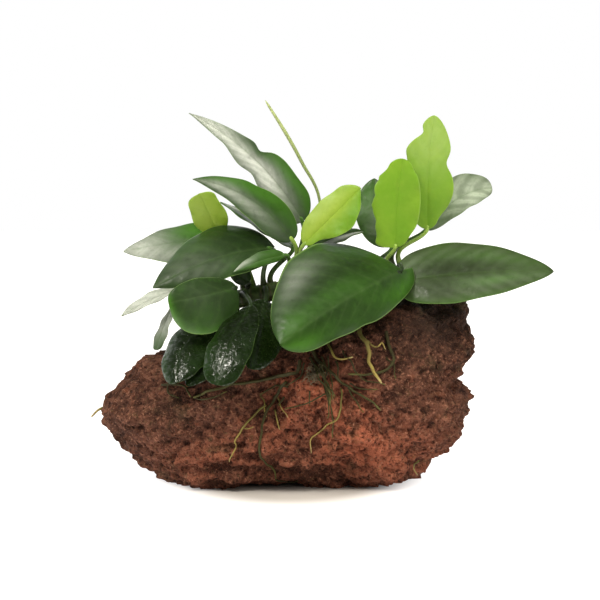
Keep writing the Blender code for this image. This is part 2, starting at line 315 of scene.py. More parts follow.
camera = bpy.data.objects.new("camera", bpy.data.cameras.new("camera"))
camera.data.lens = CAMERA_LENS
camera.data.sensor_width = SENSOR_WIDTH
bpy.context.scene.collection.objects.link(camera)
bpy.context.scene.camera = camera
away = np.array([0.0, -math.cos(CAMERA_RISE), math.sin(CAMERA_RISE)])
aim(camera, CAMERA_TARGET + CAMERA_DISTANCE * away, CAMERA_TARGET)
print("camera", CAMERA_DISTANCE, "mm from the plant")

# %% Soft boxes
LIGHT_TINT = (1.0, 0.97, 0.87)
LIGHT_TARGET = np.array([0.0, 0.0, 60.0])
# name, place, width and height in mm, watts, and whether it shows in reflections
SOFT_BOXES = [
    ("top_light", (40.0, -260.0, 880.0), 900, 700, 11.0, False),
    ("left_light", (-500.0, -440.0, 820.0), 230, 230, 5.5, True),
    ("right_light", (640.0, -500.0, 420.0), 500, 500, 2.5, False),
]

for name, spot, width, height, power, mirrored in SOFT_BOXES:
    light = bpy.data.objects.new(name, bpy.data.lights.new(name, "AREA"))
    light.data.shape = "RECTANGLE"
    light.data.size = width * MM
    light.data.size_y = height * MM
    light.data.energy = power
    light.data.color = LIGHT_TINT
    light.visible_glossy = mirrored
    bpy.context.scene.collection.objects.link(light)
    aim(light, np.array(spot), LIGHT_TARGET)
print(len(SOFT_BOXES), "soft boxes")

# %% Room
FRONT_LIGHT, BACK_LIGHT = 0.14, 1.0  # how bright the room is in front and behind
BEHIND_FROM, BEHIND_FULL = -0.1, 0.4  # along Y, for directions of length 1
CEILING_DARK, CEILING_BRIGHT = 0.82, 0.5  # along Z: straight up is dark again

world = bpy.data.worlds.new("studio")
bpy.context.scene.world = world
world.use_nodes = True
room = Nodes(world.node_tree)
toward = room.node("SeparateXYZ", {0: room.node("TexCoord").outputs["Generated"]})
behind = room.step(toward.outputs["Y"], BEHIND_FROM, BEHIND_FULL)
below = room.step(toward.outputs["Z"], CEILING_DARK, CEILING_BRIGHT)
lit = room.node("MapRange", {0: room.sum("MULTIPLY", behind, below), 3: FRONT_LIGHT, 4: BACK_LIGHT})
seen_straight = room.node("LightPath").outputs["Is Camera Ray"]
level = room.node("MapRange", {0: seen_straight, 3: lit.outputs[0]})
background = world.node_tree.nodes["Background"]
room.put(background.inputs["Strength"], level.outputs[0])
room.put(background.inputs["Color"], (1.0, 1.0, 1.0))
bpy.context.scene.view_settings.view_transform = "Standard"
print("room:", len(world.node_tree.nodes), "nodes")

# %% [markdown]
# ## Floor
# The floor is plain and near white. Away from the stone it glows, and this glow is painted light: it
# keeps the floor white up to its far edge and washes out the lamps' shadow there. Close to the stone
# the glow is held back, so the shadow shows only there. The glow grows with the distance from a spot
# under the stone, measured in an ellipse.

# %% Floor
FLOOR_HALF = 900.0
SHADOW_SQUASH = (1.1, 1.0, 0.0)  # scales X, Y and Z before the distance is taken
SHADOW_SHIFT = (14.0 * MM, 0.0, 0.0)
GLOW_FROM, GLOW_FULL, GLOW_LEVEL = 36 * MM, 62 * MM, 0.95

floor_finish = Finish("floor")
shifted = floor_finish.node("VectorMath", {0: floor_finish.place, 1: SHADOW_SQUASH, 2: SHADOW_SHIFT},
                            operation="MULTIPLY_ADD")
from_middle = floor_finish.node("VectorMath", {0: shifted.outputs[0]}, operation="LENGTH")
# painted light: the floor's glow, held back near the stone where its shadow is left to show
glow = floor_finish.step(from_middle.outputs["Value"], GLOW_FROM, GLOW_FULL, 0.0, GLOW_LEVEL)
floor_finish.set(Base_Color=(0.5, 0.46, 0.43), Roughness=0.6, Specular_IOR_Level=0.2,
                 Emission_Color=(1.0, 1.0, 1.0), Emission_Strength=glow)
floor_corners = np.array([(-1, -1, 0), (1, -1, 0), (1, 1, 0), (-1, 1, 0)]) * FLOOR_HALF
floor_mesh = fill_mesh("floor", floor_corners, np.array([[0, 1, 2, 3]]), np.zeros((0, 3), int))
floor_mesh.materials.append(floor_finish.material)
floor = bpy.data.objects.new("floor", floor_mesh)
bpy.context.scene.collection.objects.link(floor)
print("floor:", 2 * FLOOR_HALF, "mm wide")

# %% [markdown]
# ## Lava rock: shape
# The stone is a lump of red scoria, rock that froze while it was full of gas. Its broad form is the
# solid's own: an outline in the plane of X and Z, blown up to a rounded body. On that come crumbs that
# meet in sharp creases, worn ledges low on the front, and four sizes of burst bubbles pressed inwards.
# The grid is the six sides of a cube blown up to a ball, because its cells stay nearly even and it has
# no poles.

# %% Stone form
STONE_CENTRE = (-8.0, 33.0)
STONE_HALF_DEPTH = 38.0
STONE_SQUARENESS = 2.6
STONE_SHOULDER = 0.3
STONE_LUMPS = 2.2
STONE_OUTLINE = [
    (60, 26), (61, 35), (55, 40), (59, 46), (63.5, 51), (63, 57), (60.5, 64), (59, 71), (52, 75),
    (41, 75), (20, 70.5), (-8, 67.5), (-28, 64), (-43, 58.5), (-63, 49.5), (-71, 48.5), (-83, 36),
    (-89, 27.5), (-86.5, 20), (-78.5, 10.5), (-67, 1), (-59, -4), (-37, -4), (-28, 0.5), (-10, 1),
    (0, -4), (20, -4), (37, -1), (48, 8), (56, 16),
]
STONE_SIDE_CELLS = 127


def outline_radius(angle):
    """Distance from the stone's centre to its outline, read off the outline at that angle."""
    points = np.array(STONE_OUTLINE, float) - STONE_CENTRE
    angles = np.arctan2(points[:, 1], points[:, 0])
    order = np.argsort(angles)
    radii = np.hypot(points[:, 0], points[:, 1])[order]
    return np.interp(angle, angles[order], radii, period=2 * math.pi)


def stone_body(directions):
    """Reach of the broad form along unit directions: (across / outline)^p + (|y| / depth)^p = 1,
    plus long sine lumps and one hollow in front."""
    dx, dy, dz = directions.T
    angle = np.arctan2(dz, dx)
    sharp = outline_radius(angle)
    turns = np.radians(np.linspace(-30, 30, 7))
    soft = np.mean([outline_radius(angle + turn) for turn in turns], axis=0)
    side = np.abs(dy) ** 1.5
    radius = sharp * (1 - side) + soft * side
    power = STONE_SQUARENESS
    depth = STONE_HALF_DEPTH * (1 - STONE_SHOULDER * np.clip(dz, 0, 1))
    reach = ((np.hypot(dx, dz) / radius) ** power + (np.abs(dy) / depth) ** power) ** (-1 / power)
    x, y, z = directions.T * reach
    lumps = np.sin(x / 6.1 + 1.3) * np.sin(z / 5.3 + 0.4) + np.sin(y / 5.7 + x / 9.0) * np.cos(z / 7.9)
    hollow = 4.0 * np.exp(-((x + 14) ** 2 + (z - 4) ** 2) / 160) * (dy < 0)
    return reach + (STONE_LUMPS * lumps - hollow) * np.abs(dy) ** 0.7


def stone_place(directions, reach):
    """Points at that reach from the stone's centre; the right knob leans back, the foot is flat."""
    x, y, z = directions.T * reach
    x = x + STONE_CENTRE[0]
    z = z + STONE_CENTRE[1]
    knob = np.clip((x - 15) / 35, 0, 1) * np.clip((z - 40) / 25, 0, 1)
    return np.stack([x, y + 7 * knob, np.maximum(z, 0)], axis=1)


def stone_crust(body):
    """Height in mm of lumps, ledges and crumbs over the broad form, without the pits. The absolute
    value of noise gives crumbs: round bulges that meet in sharp creases."""
    low = np.clip((27 - body[:, 2]) / 12, 0, 1) * np.exp(-(((body[:, 0] + 30) / 36) ** 2))
    ledges = soft_noise(body * (0.12, 0.3, 1.0) + (0, 0, 3), 2.4, 21)
    crumbs = 2.6 * np.abs(soft_noise(body, 5.5, 12)) + 1.7 * np.abs(soft_noise(body, 2.9, 13))
    return 1.2 * soft_noise(body, 10, 11) + crumbs + 2.8 * low * ledges - 2.0


def warped(points, size, reach, seed):
    """The points pushed about by soft noise of that size, up to `reach` mm along each axis."""
    push = np.stack([soft_noise(points, size, seed + axis) for axis in range(3)], axis=-1)
    return points + reach * push


# %% Stone mesh
def cube_ball(cells):
    """Unit directions of a cube blown up to a ball, with the faces between them: a and b run over each
    side, and tan(a * 45 degrees) spreads them at even angles."""
    run = np.tan(np.linspace(-1, 1, cells + 1) * math.pi / 4)
    a, b = np.meshgrid(run, run, indexing="ij")
    corner = np.arange((cells + 1) ** 2).reshape(cells + 1, cells + 1)
    quads = np.stack([corner[:-1, :-1], corner[1:, :-1], corner[1:, 1:], corner[:-1, 1:]], axis=-1)
    quads = quads.reshape(-1, 4)
    points, faces = [], []
    for axis, sign in itertools.product(range(3), (-1, 1)):
        side = np.stack([np.full(a.shape, float(sign)), a, b], axis=-1).reshape(-1, 3)
        points.append(np.roll(side, axis, axis=1))
        faces.append((quads if sign > 0 else quads[:, ::-1]) + len(a.ravel()) * (len(points) - 1))
    points = unit(np.concatenate(points))
    _, first, index = np.unique(np.round(points, 6), axis=0, return_index=True, return_inverse=True)
    return points[first], index.reshape(-1)[np.concatenate(faces)]


directions, stone_quads = cube_ball(STONE_SIDE_CELLS)
stone_reach = stone_body(directions)
body = stone_place(directions, stone_reach)
# how the rock is bent first (size, reach, seed), the cells' size, the share of them that hold a
# bubble, the seed, a power that widens the pit, and its depth in mm
BUBBLE_SIZES = [
    ((7.0, 3.0, 85), 10.0, 0.3, 31, 0.8, 1.2),
    ((3.4, 1.5, 81), 5.2, 0.6, 41, 0.8, 1.4),
    ((3.4, 1.5, 81), 2.7, 0.85, 51, 1.0, 1.2),
    ((1.6, 0.6, 88), 1.7, 0.8, 57, 1.0, 0.7),
]
pit_depth = sum(depth * pits(warped(body, *bend), size, share, seed) ** power
                for bend, size, share, seed, power, depth in BUBBLE_SIZES)
crust = stone_crust(body)
stone_points = stone_place(directions, stone_reach + crust - pit_depth)
stone_mesh = fill_mesh("stone", stone_points, stone_quads, np.zeros((0, 3), int))
print("stone:", 2 * len(stone_quads), "triangles, pits up to", round(float(pit_depth.max()), 1), "mm")


# %% [markdown]
# ## Lava rock: colour
# Iron turns scoria red. This lump is orange-red low in the middle and brown on the left, and a film of
# olive algae sits where the roots keep it wet. The right-hand knob is damp and is painted almost black,
# partly for the damp and partly as painted shade of the leaves above it. The top under the leaves and
# a pit low in front are darkened with painted shade, and the foot is painted a little darker. The
# broad zones are painted on the points as soft ellipses, and noise in the material breaks them up.
# Real depth darkens the pits, and painted shade darkens them more.


# %% Stone colour zones
# X and Z of the middle, half width and half height in mm, and strength. The first table is damp and
# painted shade: the damp right-hand knob, darker still as painted shade of the leaves above it,
# painted shade under the leaves at the top left and in a pit low in front, and a darker foot.
DAMP_AND_SHADE_ZONES = [(47, 70, 25, 20, 1.0), (-22, 60, 30, 10, 0.7), (-2, 3, 24, 5, 0.15), (-8, 19, 7, 5, 0.4)]
WARM_ZONES = [(4, 28, 24, 17, 1.05), (30, 10, 26, 14, 0.6), (-2, 45, 16, 8, 0.5),
              (-40, 12, 24, 11, 0.6), (-13, 36, 10, 9, 0.5), (13, 23, 8, 8, 0.4)]
DEEPEST = 3.6  # mm below the broad form that count as a full hollow


def patches(across, along, marks):
    """Strength of soft patches from 0 to 1: the sum of bells, each given by the two coordinates of its
    middle, its reach along each of them, and its strength."""
    total = np.zeros(across.shape)
    for middle, height, wide, high, strength in marks:
        total += strength * np.exp(-((across - middle) / wide) ** 2 - ((along - height) / high) ** 2)
    return np.clip(total, 0, 1)


x, _, z = body.T
# painted shade: the deeper a point lies in a pit, the darker the material paints it
pit_shade_share = np.clip((pit_depth - crust) / DEEPEST, 0, 1)
print("share of the rock in hollows:", round(float(pit_shade_share.mean()), 2))
painted = np.stack([pit_shade_share, patches(x, z, DAMP_AND_SHADE_ZONES), patches(x, z, WARM_ZONES)], axis=1)
paint(stone_mesh, "form", painted)

# %% Stone finish
lava = Finish("lava_rock")
hollow, damp_and_shade, warm = lava.parts("form")
broad = lava.noise(26, detail=4.0)
patchy = lava.noise(7, detail=6.0, roughness=0.7)
mossy = lava.noise(2.6, detail=5.0, roughness=0.7)
rusty = lava.noise(4.5, detail=4.0)
algae = lava.noise(13, detail=6.0, roughness=0.65)
grain = lava.noise(1.5, detail=5.0, roughness=0.75, distortion=0.6)
fine_grain = lava.noise(0.7, detail=3.0, roughness=0.7)
warp = lava.node("TexNoise", {"Vector": lava.place, "Scale": 1 / (2.2 * MM), "Detail": 2.0})
pushed = lava.node("VectorMath", {0: warp.outputs["Color"], 1: (2.6 * MM,) * 3, 2: lava.place},
                   operation="MULTIPLY_ADD")
bubbles = lava.node("TexVoronoi", {"Vector": pushed.outputs[0], "Scale": 1 / (1.9 * MM)})
holes = lava.step(bubbles.outputs["Distance"], 0.12, 0.5)
orange = lava.sum("MULTIPLY", lava.sum("MULTIPLY", lava.step(broad, 0.27, 0.57), warm), 0.9)
dark_and_shade_share = lava.sum("MULTIPLY", damp_and_shade, lava.step(broad, 0.1, 0.45))
crumbs = lava.sum("MULTIPLY", lava.step(grain, 0.53, 0.66, 0.0, 0.8),
                  lava.step(dark_and_shade_share, 0.2, 0.9, 1.0, 0.25))
brown = lava.blend(lava.step(patchy, 0.36, 0.64), (0.090, 0.035, 0.021), (0.225, 0.092, 0.057))
colour = lava.layered(
    brown,
    (orange, (0.52, 0.150, 0.078)),
    (lava.step(mossy, 0.55, 0.68, 0.0, 0.5), (0.15, 0.105, 0.045)),
    (lava.step(rusty, 0.58, 0.7, 0.0, 0.45), (0.27, 0.075, 0.035)),
    # damp rock and painted shade, darkest on the right-hand knob and under the leaves
    (dark_and_shade_share, (0.026, 0.014, 0.008)),
    (lava.step(algae, 0.54, 0.66, 0.0, 0.5), (0.080, 0.062, 0.028)),
    # painted shade: the deeper pits and the bubble holes are painted dark
    (lava.step(hollow, 0.3, 0.9, 0.0, 0.6), (0.030, 0.013, 0.009)),
    (lava.step(holes, 0.0, 1.0, 0.6, 0.0), (0.028, 0.011, 0.007)),
    # raised grains painted lighter: partly their own colour, partly painted highlight, less of it in damp
    # and shade
    (crumbs, (0.46, 0.205, 0.125)),
    # painted shade in the creases between the grains
    (lava.step(grain, 0.47, 0.36, 0.0, 0.8), (0.030, 0.012, 0.008)),
    (lava.step(fine_grain, 0.70, 0.78, 0.0, 0.6), (0.52, 0.38, 0.28)),
)
rough = lava.bump(lava.sum("MULTIPLY_ADD", grain, 1.6, holes), 1.5)
lava.set(Base_Color=colour, Normal=lava.bump(fine_grain, 0.6, rough), Specular_IOR_Level=0.2,
         Roughness=lava.step(damp_and_shade, 0.2, 1.0, 0.9, 0.7))
add_piece("lava_stone", stone_mesh, lava.material, "lava_rock", "stone")
print("lava finish:", len(lava.tree.nodes), "nodes")


# %% [markdown]
# ## A round piece carried along a path
# Stem, stalks, rolled leaf and roots are all a ring carried along a curved line. The curve through a
# few given points is a Catmull-Rom curve, resampled at even steps. The ring's radius may change
# both along and around, which makes scars, grooves and swellings.


# %% Swept surfaces
def around(sides):
    """The angles of a ring's points, evenly spread over one turn."""
    return np.linspace(0, 2 * math.pi, sides, endpoint=False)


def smooth_path(points, count):
    """Points evenly spaced along the Catmull-Rom curve through the given ones: between b and c it is
    half of 2b + (c - a)t + (2a - 5b + 4c - d)t^2 + (3b - a - 3c + d)t^3."""
    points = np.array(points, float)
    padded = np.vstack([2 * points[0] - points[1], points, 2 * points[-1] - points[-2]])
    a, b, c, d = (padded[k:len(padded) - 3 + k, None] for k in range(4))
    t = np.linspace(0, 1, 12, endpoint=False)[:, None]
    fine = 0.5 * (2 * b + (c - a) * t + (2 * a - 5 * b + 4 * c - d) * t**2 + (3 * b - a - 3 * c + d) * t**3)
    fine = np.concatenate([fine.reshape(-1, points.shape[1]), points[-1:]])
    run = np.concatenate([[0], np.cumsum(np.linalg.norm(np.diff(fine, axis=0), axis=1))])
    wanted = np.linspace(0, run[-1], count)
    return np.stack([np.interp(wanted, run, axis) for axis in fine.T], axis=1)


def swept(path, radius, sides, ref):
    """Rings round a path: path + radius * (cos a * side + sin a * up), where side is square to the
    path and to `ref`, and up is square to both. Radius is given for each point, or each point and a."""
    along = unit(np.gradient(path, axis=0))
    side = unit(np.cross(along, ref))
    up = np.cross(side, along)
    angle = around(sides)[:, None]
    ring = np.cos(angle) * side[:, None] + np.sin(angle) * up[:, None]
    radius = np.asarray(radius, float)
    radius = radius[:, None, None] if radius.ndim == 1 else radius[..., None]
    return path[:, None] + radius * ring


def tube_mesh(name, *grids, tones=(0.5, 0.5)):
    """One mesh of one or more closed tubes: the numbers of each tube's points follow on from the last
    one's. It is painted with three numbers a point: share of the length and two tones."""
    points, quads, triangles, layers = [], [], [], []
    start = 0
    for grid in grids:
        rows, columns = grid.shape[:2]
        four, three = ring_faces(rows, columns)
        share = np.linspace(0, 1, rows)[:, None]
        painted = [np.broadcast_to(layer, (rows, columns)) for layer in (share, *tones)]
        points.append(with_ends(grid))
        layers.append(with_ends(np.stack(painted, axis=-1)))
        quads.append(four + start)
        triangles.append(three + start)
        start += rows * columns + 2
    mesh = fill_mesh(name, *(np.concatenate(part) for part in (points, quads, triangles)))
    paint(mesh, "form", np.concatenate(layers))
    return mesh


# %% [markdown]
# ## The creeping stem
# An anubias grows from a thick green stem that lies on the rock. Each fallen leaf leaves a ring round
# it, and old root stumps and buds make it knobbly. The rings are a raised sine along the path with an
# uneven spacing, and the knobs are soft noise.

# %% Creeping stem
RHIZOME_PATH = [
    (-44, 2, 68.5), (-36, 0, 71), (-27, -1, 73.5), (-18, 0, 75), (-8, 2, 76), (4, 3, 77),
    (16, 1, 79), (26, -1, 81), (34, -2, 84),
]
RHIZOME_RADIUS = 3.9
RHIZOME_ROWS, RHIZOME_SIDES = 190, 36
SCAR_SPACING = 3.1


def rhizome_at(x):
    """Centre of the stem at x, and its direction there."""
    path = smooth_path(RHIZOME_PATH, 200)
    nearest = int(np.clip(np.argmin(np.abs(path[:, 0] - x)), 1, len(path) - 2))
    return path[nearest], unit(path[nearest + 1] - path[nearest - 1])


def rhizome_radius(path, sides):
    """The stem's radius along and around: full in the middle, rounded off at both ends, with leaf
    scars as narrow ridges and soft lumps between them."""
    share = np.linspace(0, 1, len(path))[:, None]
    angle = around(sides)[None]
    length = np.linalg.norm(np.diff(path, axis=0), axis=1).sum()
    rounded = np.clip(1 - np.abs(2 * share - 1) ** 14, 0, 1) ** 0.5
    turn = share * length / SCAR_SPACING + 0.35 * np.sin(9 * share) + 0.16 * np.sin(angle + 14 * share)
    ridge = (0.5 + 0.5 * np.cos(2 * math.pi * turn)) ** 6
    skin = np.stack(np.broadcast_arrays(share * length, 4 * np.cos(angle), 4 * np.sin(angle)), axis=-1)
    lumps = soft_noise(skin, 3.2, 61)
    return (RHIZOME_RADIUS * 0.93 + 0.42 * ridge + 0.35 * lumps) * (0.1 + 0.9 * rounded), ridge, lumps


path = smooth_path(RHIZOME_PATH, RHIZOME_ROWS)
radius, ridge, lumps = rhizome_radius(path, RHIZOME_SIDES)
stem_grid = swept(path, radius, RHIZOME_SIDES, (0.0, 0.0, 1.0))
stem_mesh = tube_mesh("creeping_stem", stem_grid, tones=(ridge, 0.5 + 0.5 * lumps))

# %% Creeping stem finish
stem = Finish("creeping_stem")
_, ridge, _ = stem.parts("form")
mottle = stem.noise(2.4, detail=4.0)
colour = stem.layered(
    (0.030, 0.050, 0.012),
    (stem.step(mottle, 0.35, 0.65), (0.075, 0.12, 0.026)),
    (stem.step(ridge, 0.3, 0.9, 0.0, 0.7), (0.085, 0.065, 0.030)),
    (stem.step(stem.noise(0.7), 0.6, 0.75, 0.0, 0.6), (0.020, 0.016, 0.009)),
)
stem.set(Base_Color=colour, Roughness=stem.step(mottle, 0.3, 0.7, 0.32, 0.55),
         Normal=stem.bump(stem.noise(0.6), 0.12))
add_piece("stem_creeping", stem_mesh, stem.material, "creeping_stem", "rhizome")
print("creeping stem:", len(stem_mesh.vertices), "points")

# %% [markdown]
# ## Leaves: the facts
# A leaf is described by its midrib, the way that its upper side looks, and the widths of its two
# halves. What makes each one an individual comes on top: lobes behind the stalk, dents and bulges of
# the margin, ripples, and where it is fresher, paler or darker than its fellows. The paler patches are
# partly the blade's own colour and partly painted sheen, the bright room mirrored by level leaves; the
# darker ones are partly its own marks and partly painted shade under the leaves in front.


# %% Leaf facts
def leaf(base, tip, bow, face, half, fold, arch, full, foot, lean, pull=(12, 8)):
    """The facts of one leaf.

    base, tip   ends of the midrib
    bow         how far the middle of the midrib leaves the straight line
    face        the way that the upper side looks
    half        widths of the left and right halves
    fold, arch  degrees: how far each half rises from the midrib, and how far it then bends back
    full        roundness at the base and at the tip: a smaller number is blunter
    foot, lean  place of the stalk's foot along X, and its angle from upright towards the front
    pull        how far the stalk runs straight at its foot and at the blade
    """
    return dict(base=base, tip=tip, bow=bow, face=face, half=half, fold=fold, arch=arch,
                full=full, foot=foot, lean=lean, pull=pull)


LEAVES = {
    "01": leaf((-34, 14, 95), (-79, 8, 90), (0, 0, 1), (-0.1, -0.62, 0.78), (12, 11), 6, 20,
               (0.5, 0.85), -30, -30, (10, 10)),
    "02": leaf((-51, 9, 77), (-79.5, 0, 65), (0, 0, 1.2), (0.2, -0.45, 0.9), (2.5, 4.2), 10, 20,
               (1, 0.8), -38, -35, (5, 5)),
    "03": leaf((-58, 13, 70), (-65.5, 2, 51), (-0.8, 0, 0), (-0.7, -0.7, 0.3), (3.5, 3.5), 10, 20,
               (0.9, 0.3), -41, -45, (6, 6)),
    "04": leaf((-19.5, -5, 93), (-65.5, -20, 79), (0, -2, 3.5), (-0.2, -0.75, 0.65), (9, 20.5), 0, 30,
               (0.42, 0.9), -22, 0, (8, 4)),
    "05": leaf((-33.5, -20, 79), (-58.8, -32, 75), (0, -2, 0), (-0.25, -0.93, 0.2), (15, 6.5), 0, 22,
               (0.38, 0.38), -34, 40, (4, 4)),
    "06": leaf((-41, -15, 68), (-55, -39, 45), (-5, -1, 1), (-0.35, -0.85, 0.4), (11, 9), 0, 35,
               (0.45, 0.4), -38, 50, (4, 4)),
    "07": leaf((-27, -22, 72.5), (-39.5, -48, 45.5), (-1, -4, 2), (-0.3, -0.85, 0.4), (9, 9.5), 0, 20,
               (0.5, 0.35), -30, 62, (4, 4)),
    "08": leaf((-14, -12, 91), (-34, -18, 85), (0, 0, 1), (0, -0.9, 0.5), (2.5, 3.8), 10, 30,
               (0.5, 0.9), -13, 38, (8, 3)),
    "09": leaf((-40.5, 8.3, 97), (-48, 2.3, 114), (0, 0, 0), (-0.2, -1, 0.2), (6.3, 6), 14, 0,
               (0.4, 0.22), -26, -15, (14, 8)),
    "10": leaf((-11, -4, 96), (-50, -12, 121), (2.8, 0, 4.2), (-0.3, -0.75, 0.6), (7.5, 7.5), 10, 10,
               (0.45, 0.9), -10, 15, (12, 8)),
    "11": leaf((-11, 8, 92), (-40, 8, 110), (0.3, 0, 0.5), (0.5, -0.15, 0.85), (9, 9), 6, 10,
               (0.5, 0.9), -19, -20, (7, 5)),
    "12": leaf((-7, 10, 102), (-52, 2, 146), (3.6, 0, 3), (0.1, -0.8, 0.5), (8, 8.5), 10, 10,
               (0.4, 1.05), -8, -25, (12, 8)),
    "13": leaf((-37, -24.7, 56.4), (-51.5, -37.5, 43.3), (0, 0, 2), (-0.2, -0.8, 0.6), (6, 6), 0, 30,
               (0.5, 0.6), -34, 80, (12, 5)),
    "14": leaf((-6.4, -6, 94.6), (16, -7, 117), (0, 0, 0), (-0.3, -0.8, 0.3), (8, 9), 10, 10,
               (0.45, 0.5), -6, 20, (8, 6)),
    "15": leaf((32, -14, 85), (-15.6, -47, 61), (0, -5.5, 3), (-0.15, -0.93, 0.35), (14, 32.5), -8, 25,
               (0.42, 0.48), 33, 50, (3, 4)),
    "16": leaf((-5, 3, 90), (17.4, 3, 98.6), (0, 0, 2), (0, -0.3, 0.95), (8, 8), 10, 10,
               (0.5, 0.9), -2, -10, (6, 5)),
    "17": leaf((29, 14, 92), (22.5, 26, 118), (-3, 0, 0), (-0.3, -0.9, 0.2), (8.5, 8.5), 10, 10,
               (0.5, 0.7), 22, -35, (6, 5)),
    "18": leaf((43, 10, 98.6), (69.5, 14, 115), (-1, 0, 4), (0, -0.7, 0.7), (10, 7), 10, 10,
               (0.5, 0.42), 30, -30, (10, 6)),
    "19": leaf((30, -3, 93), (33, 1, 128), (-1, 0, 0), (-0.1, -0.95, 0.1), (9.5, 9.5), 10, 10,
               (0.45, 0.5), 28, 5, (4, 3)),
    "20": leaf((43, 4, 99.5), (45.4, 4, 145), (-1, 0, 0), (0, -1, 0.1), (9, 10), 8, 10,
               (0.5, 0.6), 33, -8, (8, 6)),
    "21": leaf((32, -9, 80.5), (91.5, -16, 85), (-1, 0, 1.5), (0.1, -0.75, 0.65), (16, 13), 5, 20,
               (0.36, 0.75), 26, 55, (2, 2)),
    "22": leaf((-21.5, -12, 73), (-26.5, -36, 49.5), (0, -3, 2), (0.2, -0.9, 0.4), (11, 7), 0, 20,
               (0.32, 0.45), -22, 60, (4, 4)),
    "23": leaf((-28.5, -5, 79), (-36, -5, 86), (0, 0, 0), (-0.2, -0.9, 0.3), (3.5, 4), 5, 20,
               (0.45, 0.6), -28, 10, (1, 1)),
}

print(len(LEAVES), "leaves")


# %% Leaf looks
def look(finish="mature", lobe=(0, 0), ripple=0.35, quilt=0.025, dents=(), fresh=(), pale=(), dark=()):
    """What makes a leaf an individual.

    finish              mature, striped, wet or young
    lobe                mm that the left and right halves reach back past the stalk
    ripple, quilt       mm of waviness at the margin, and of swelling between the side veins
    dents               (half, u, reach, mm): the margin of the left (-1) or right (1) half moves out
    fresh, pale, dark   (u, v, reach along, reach across, strength) of soft patches of colour
    """
    return dict(finish=finish, lobe=lobe, ripple=ripple, quilt=quilt, dents=dents,
                fresh=fresh, pale=pale, dark=dark)


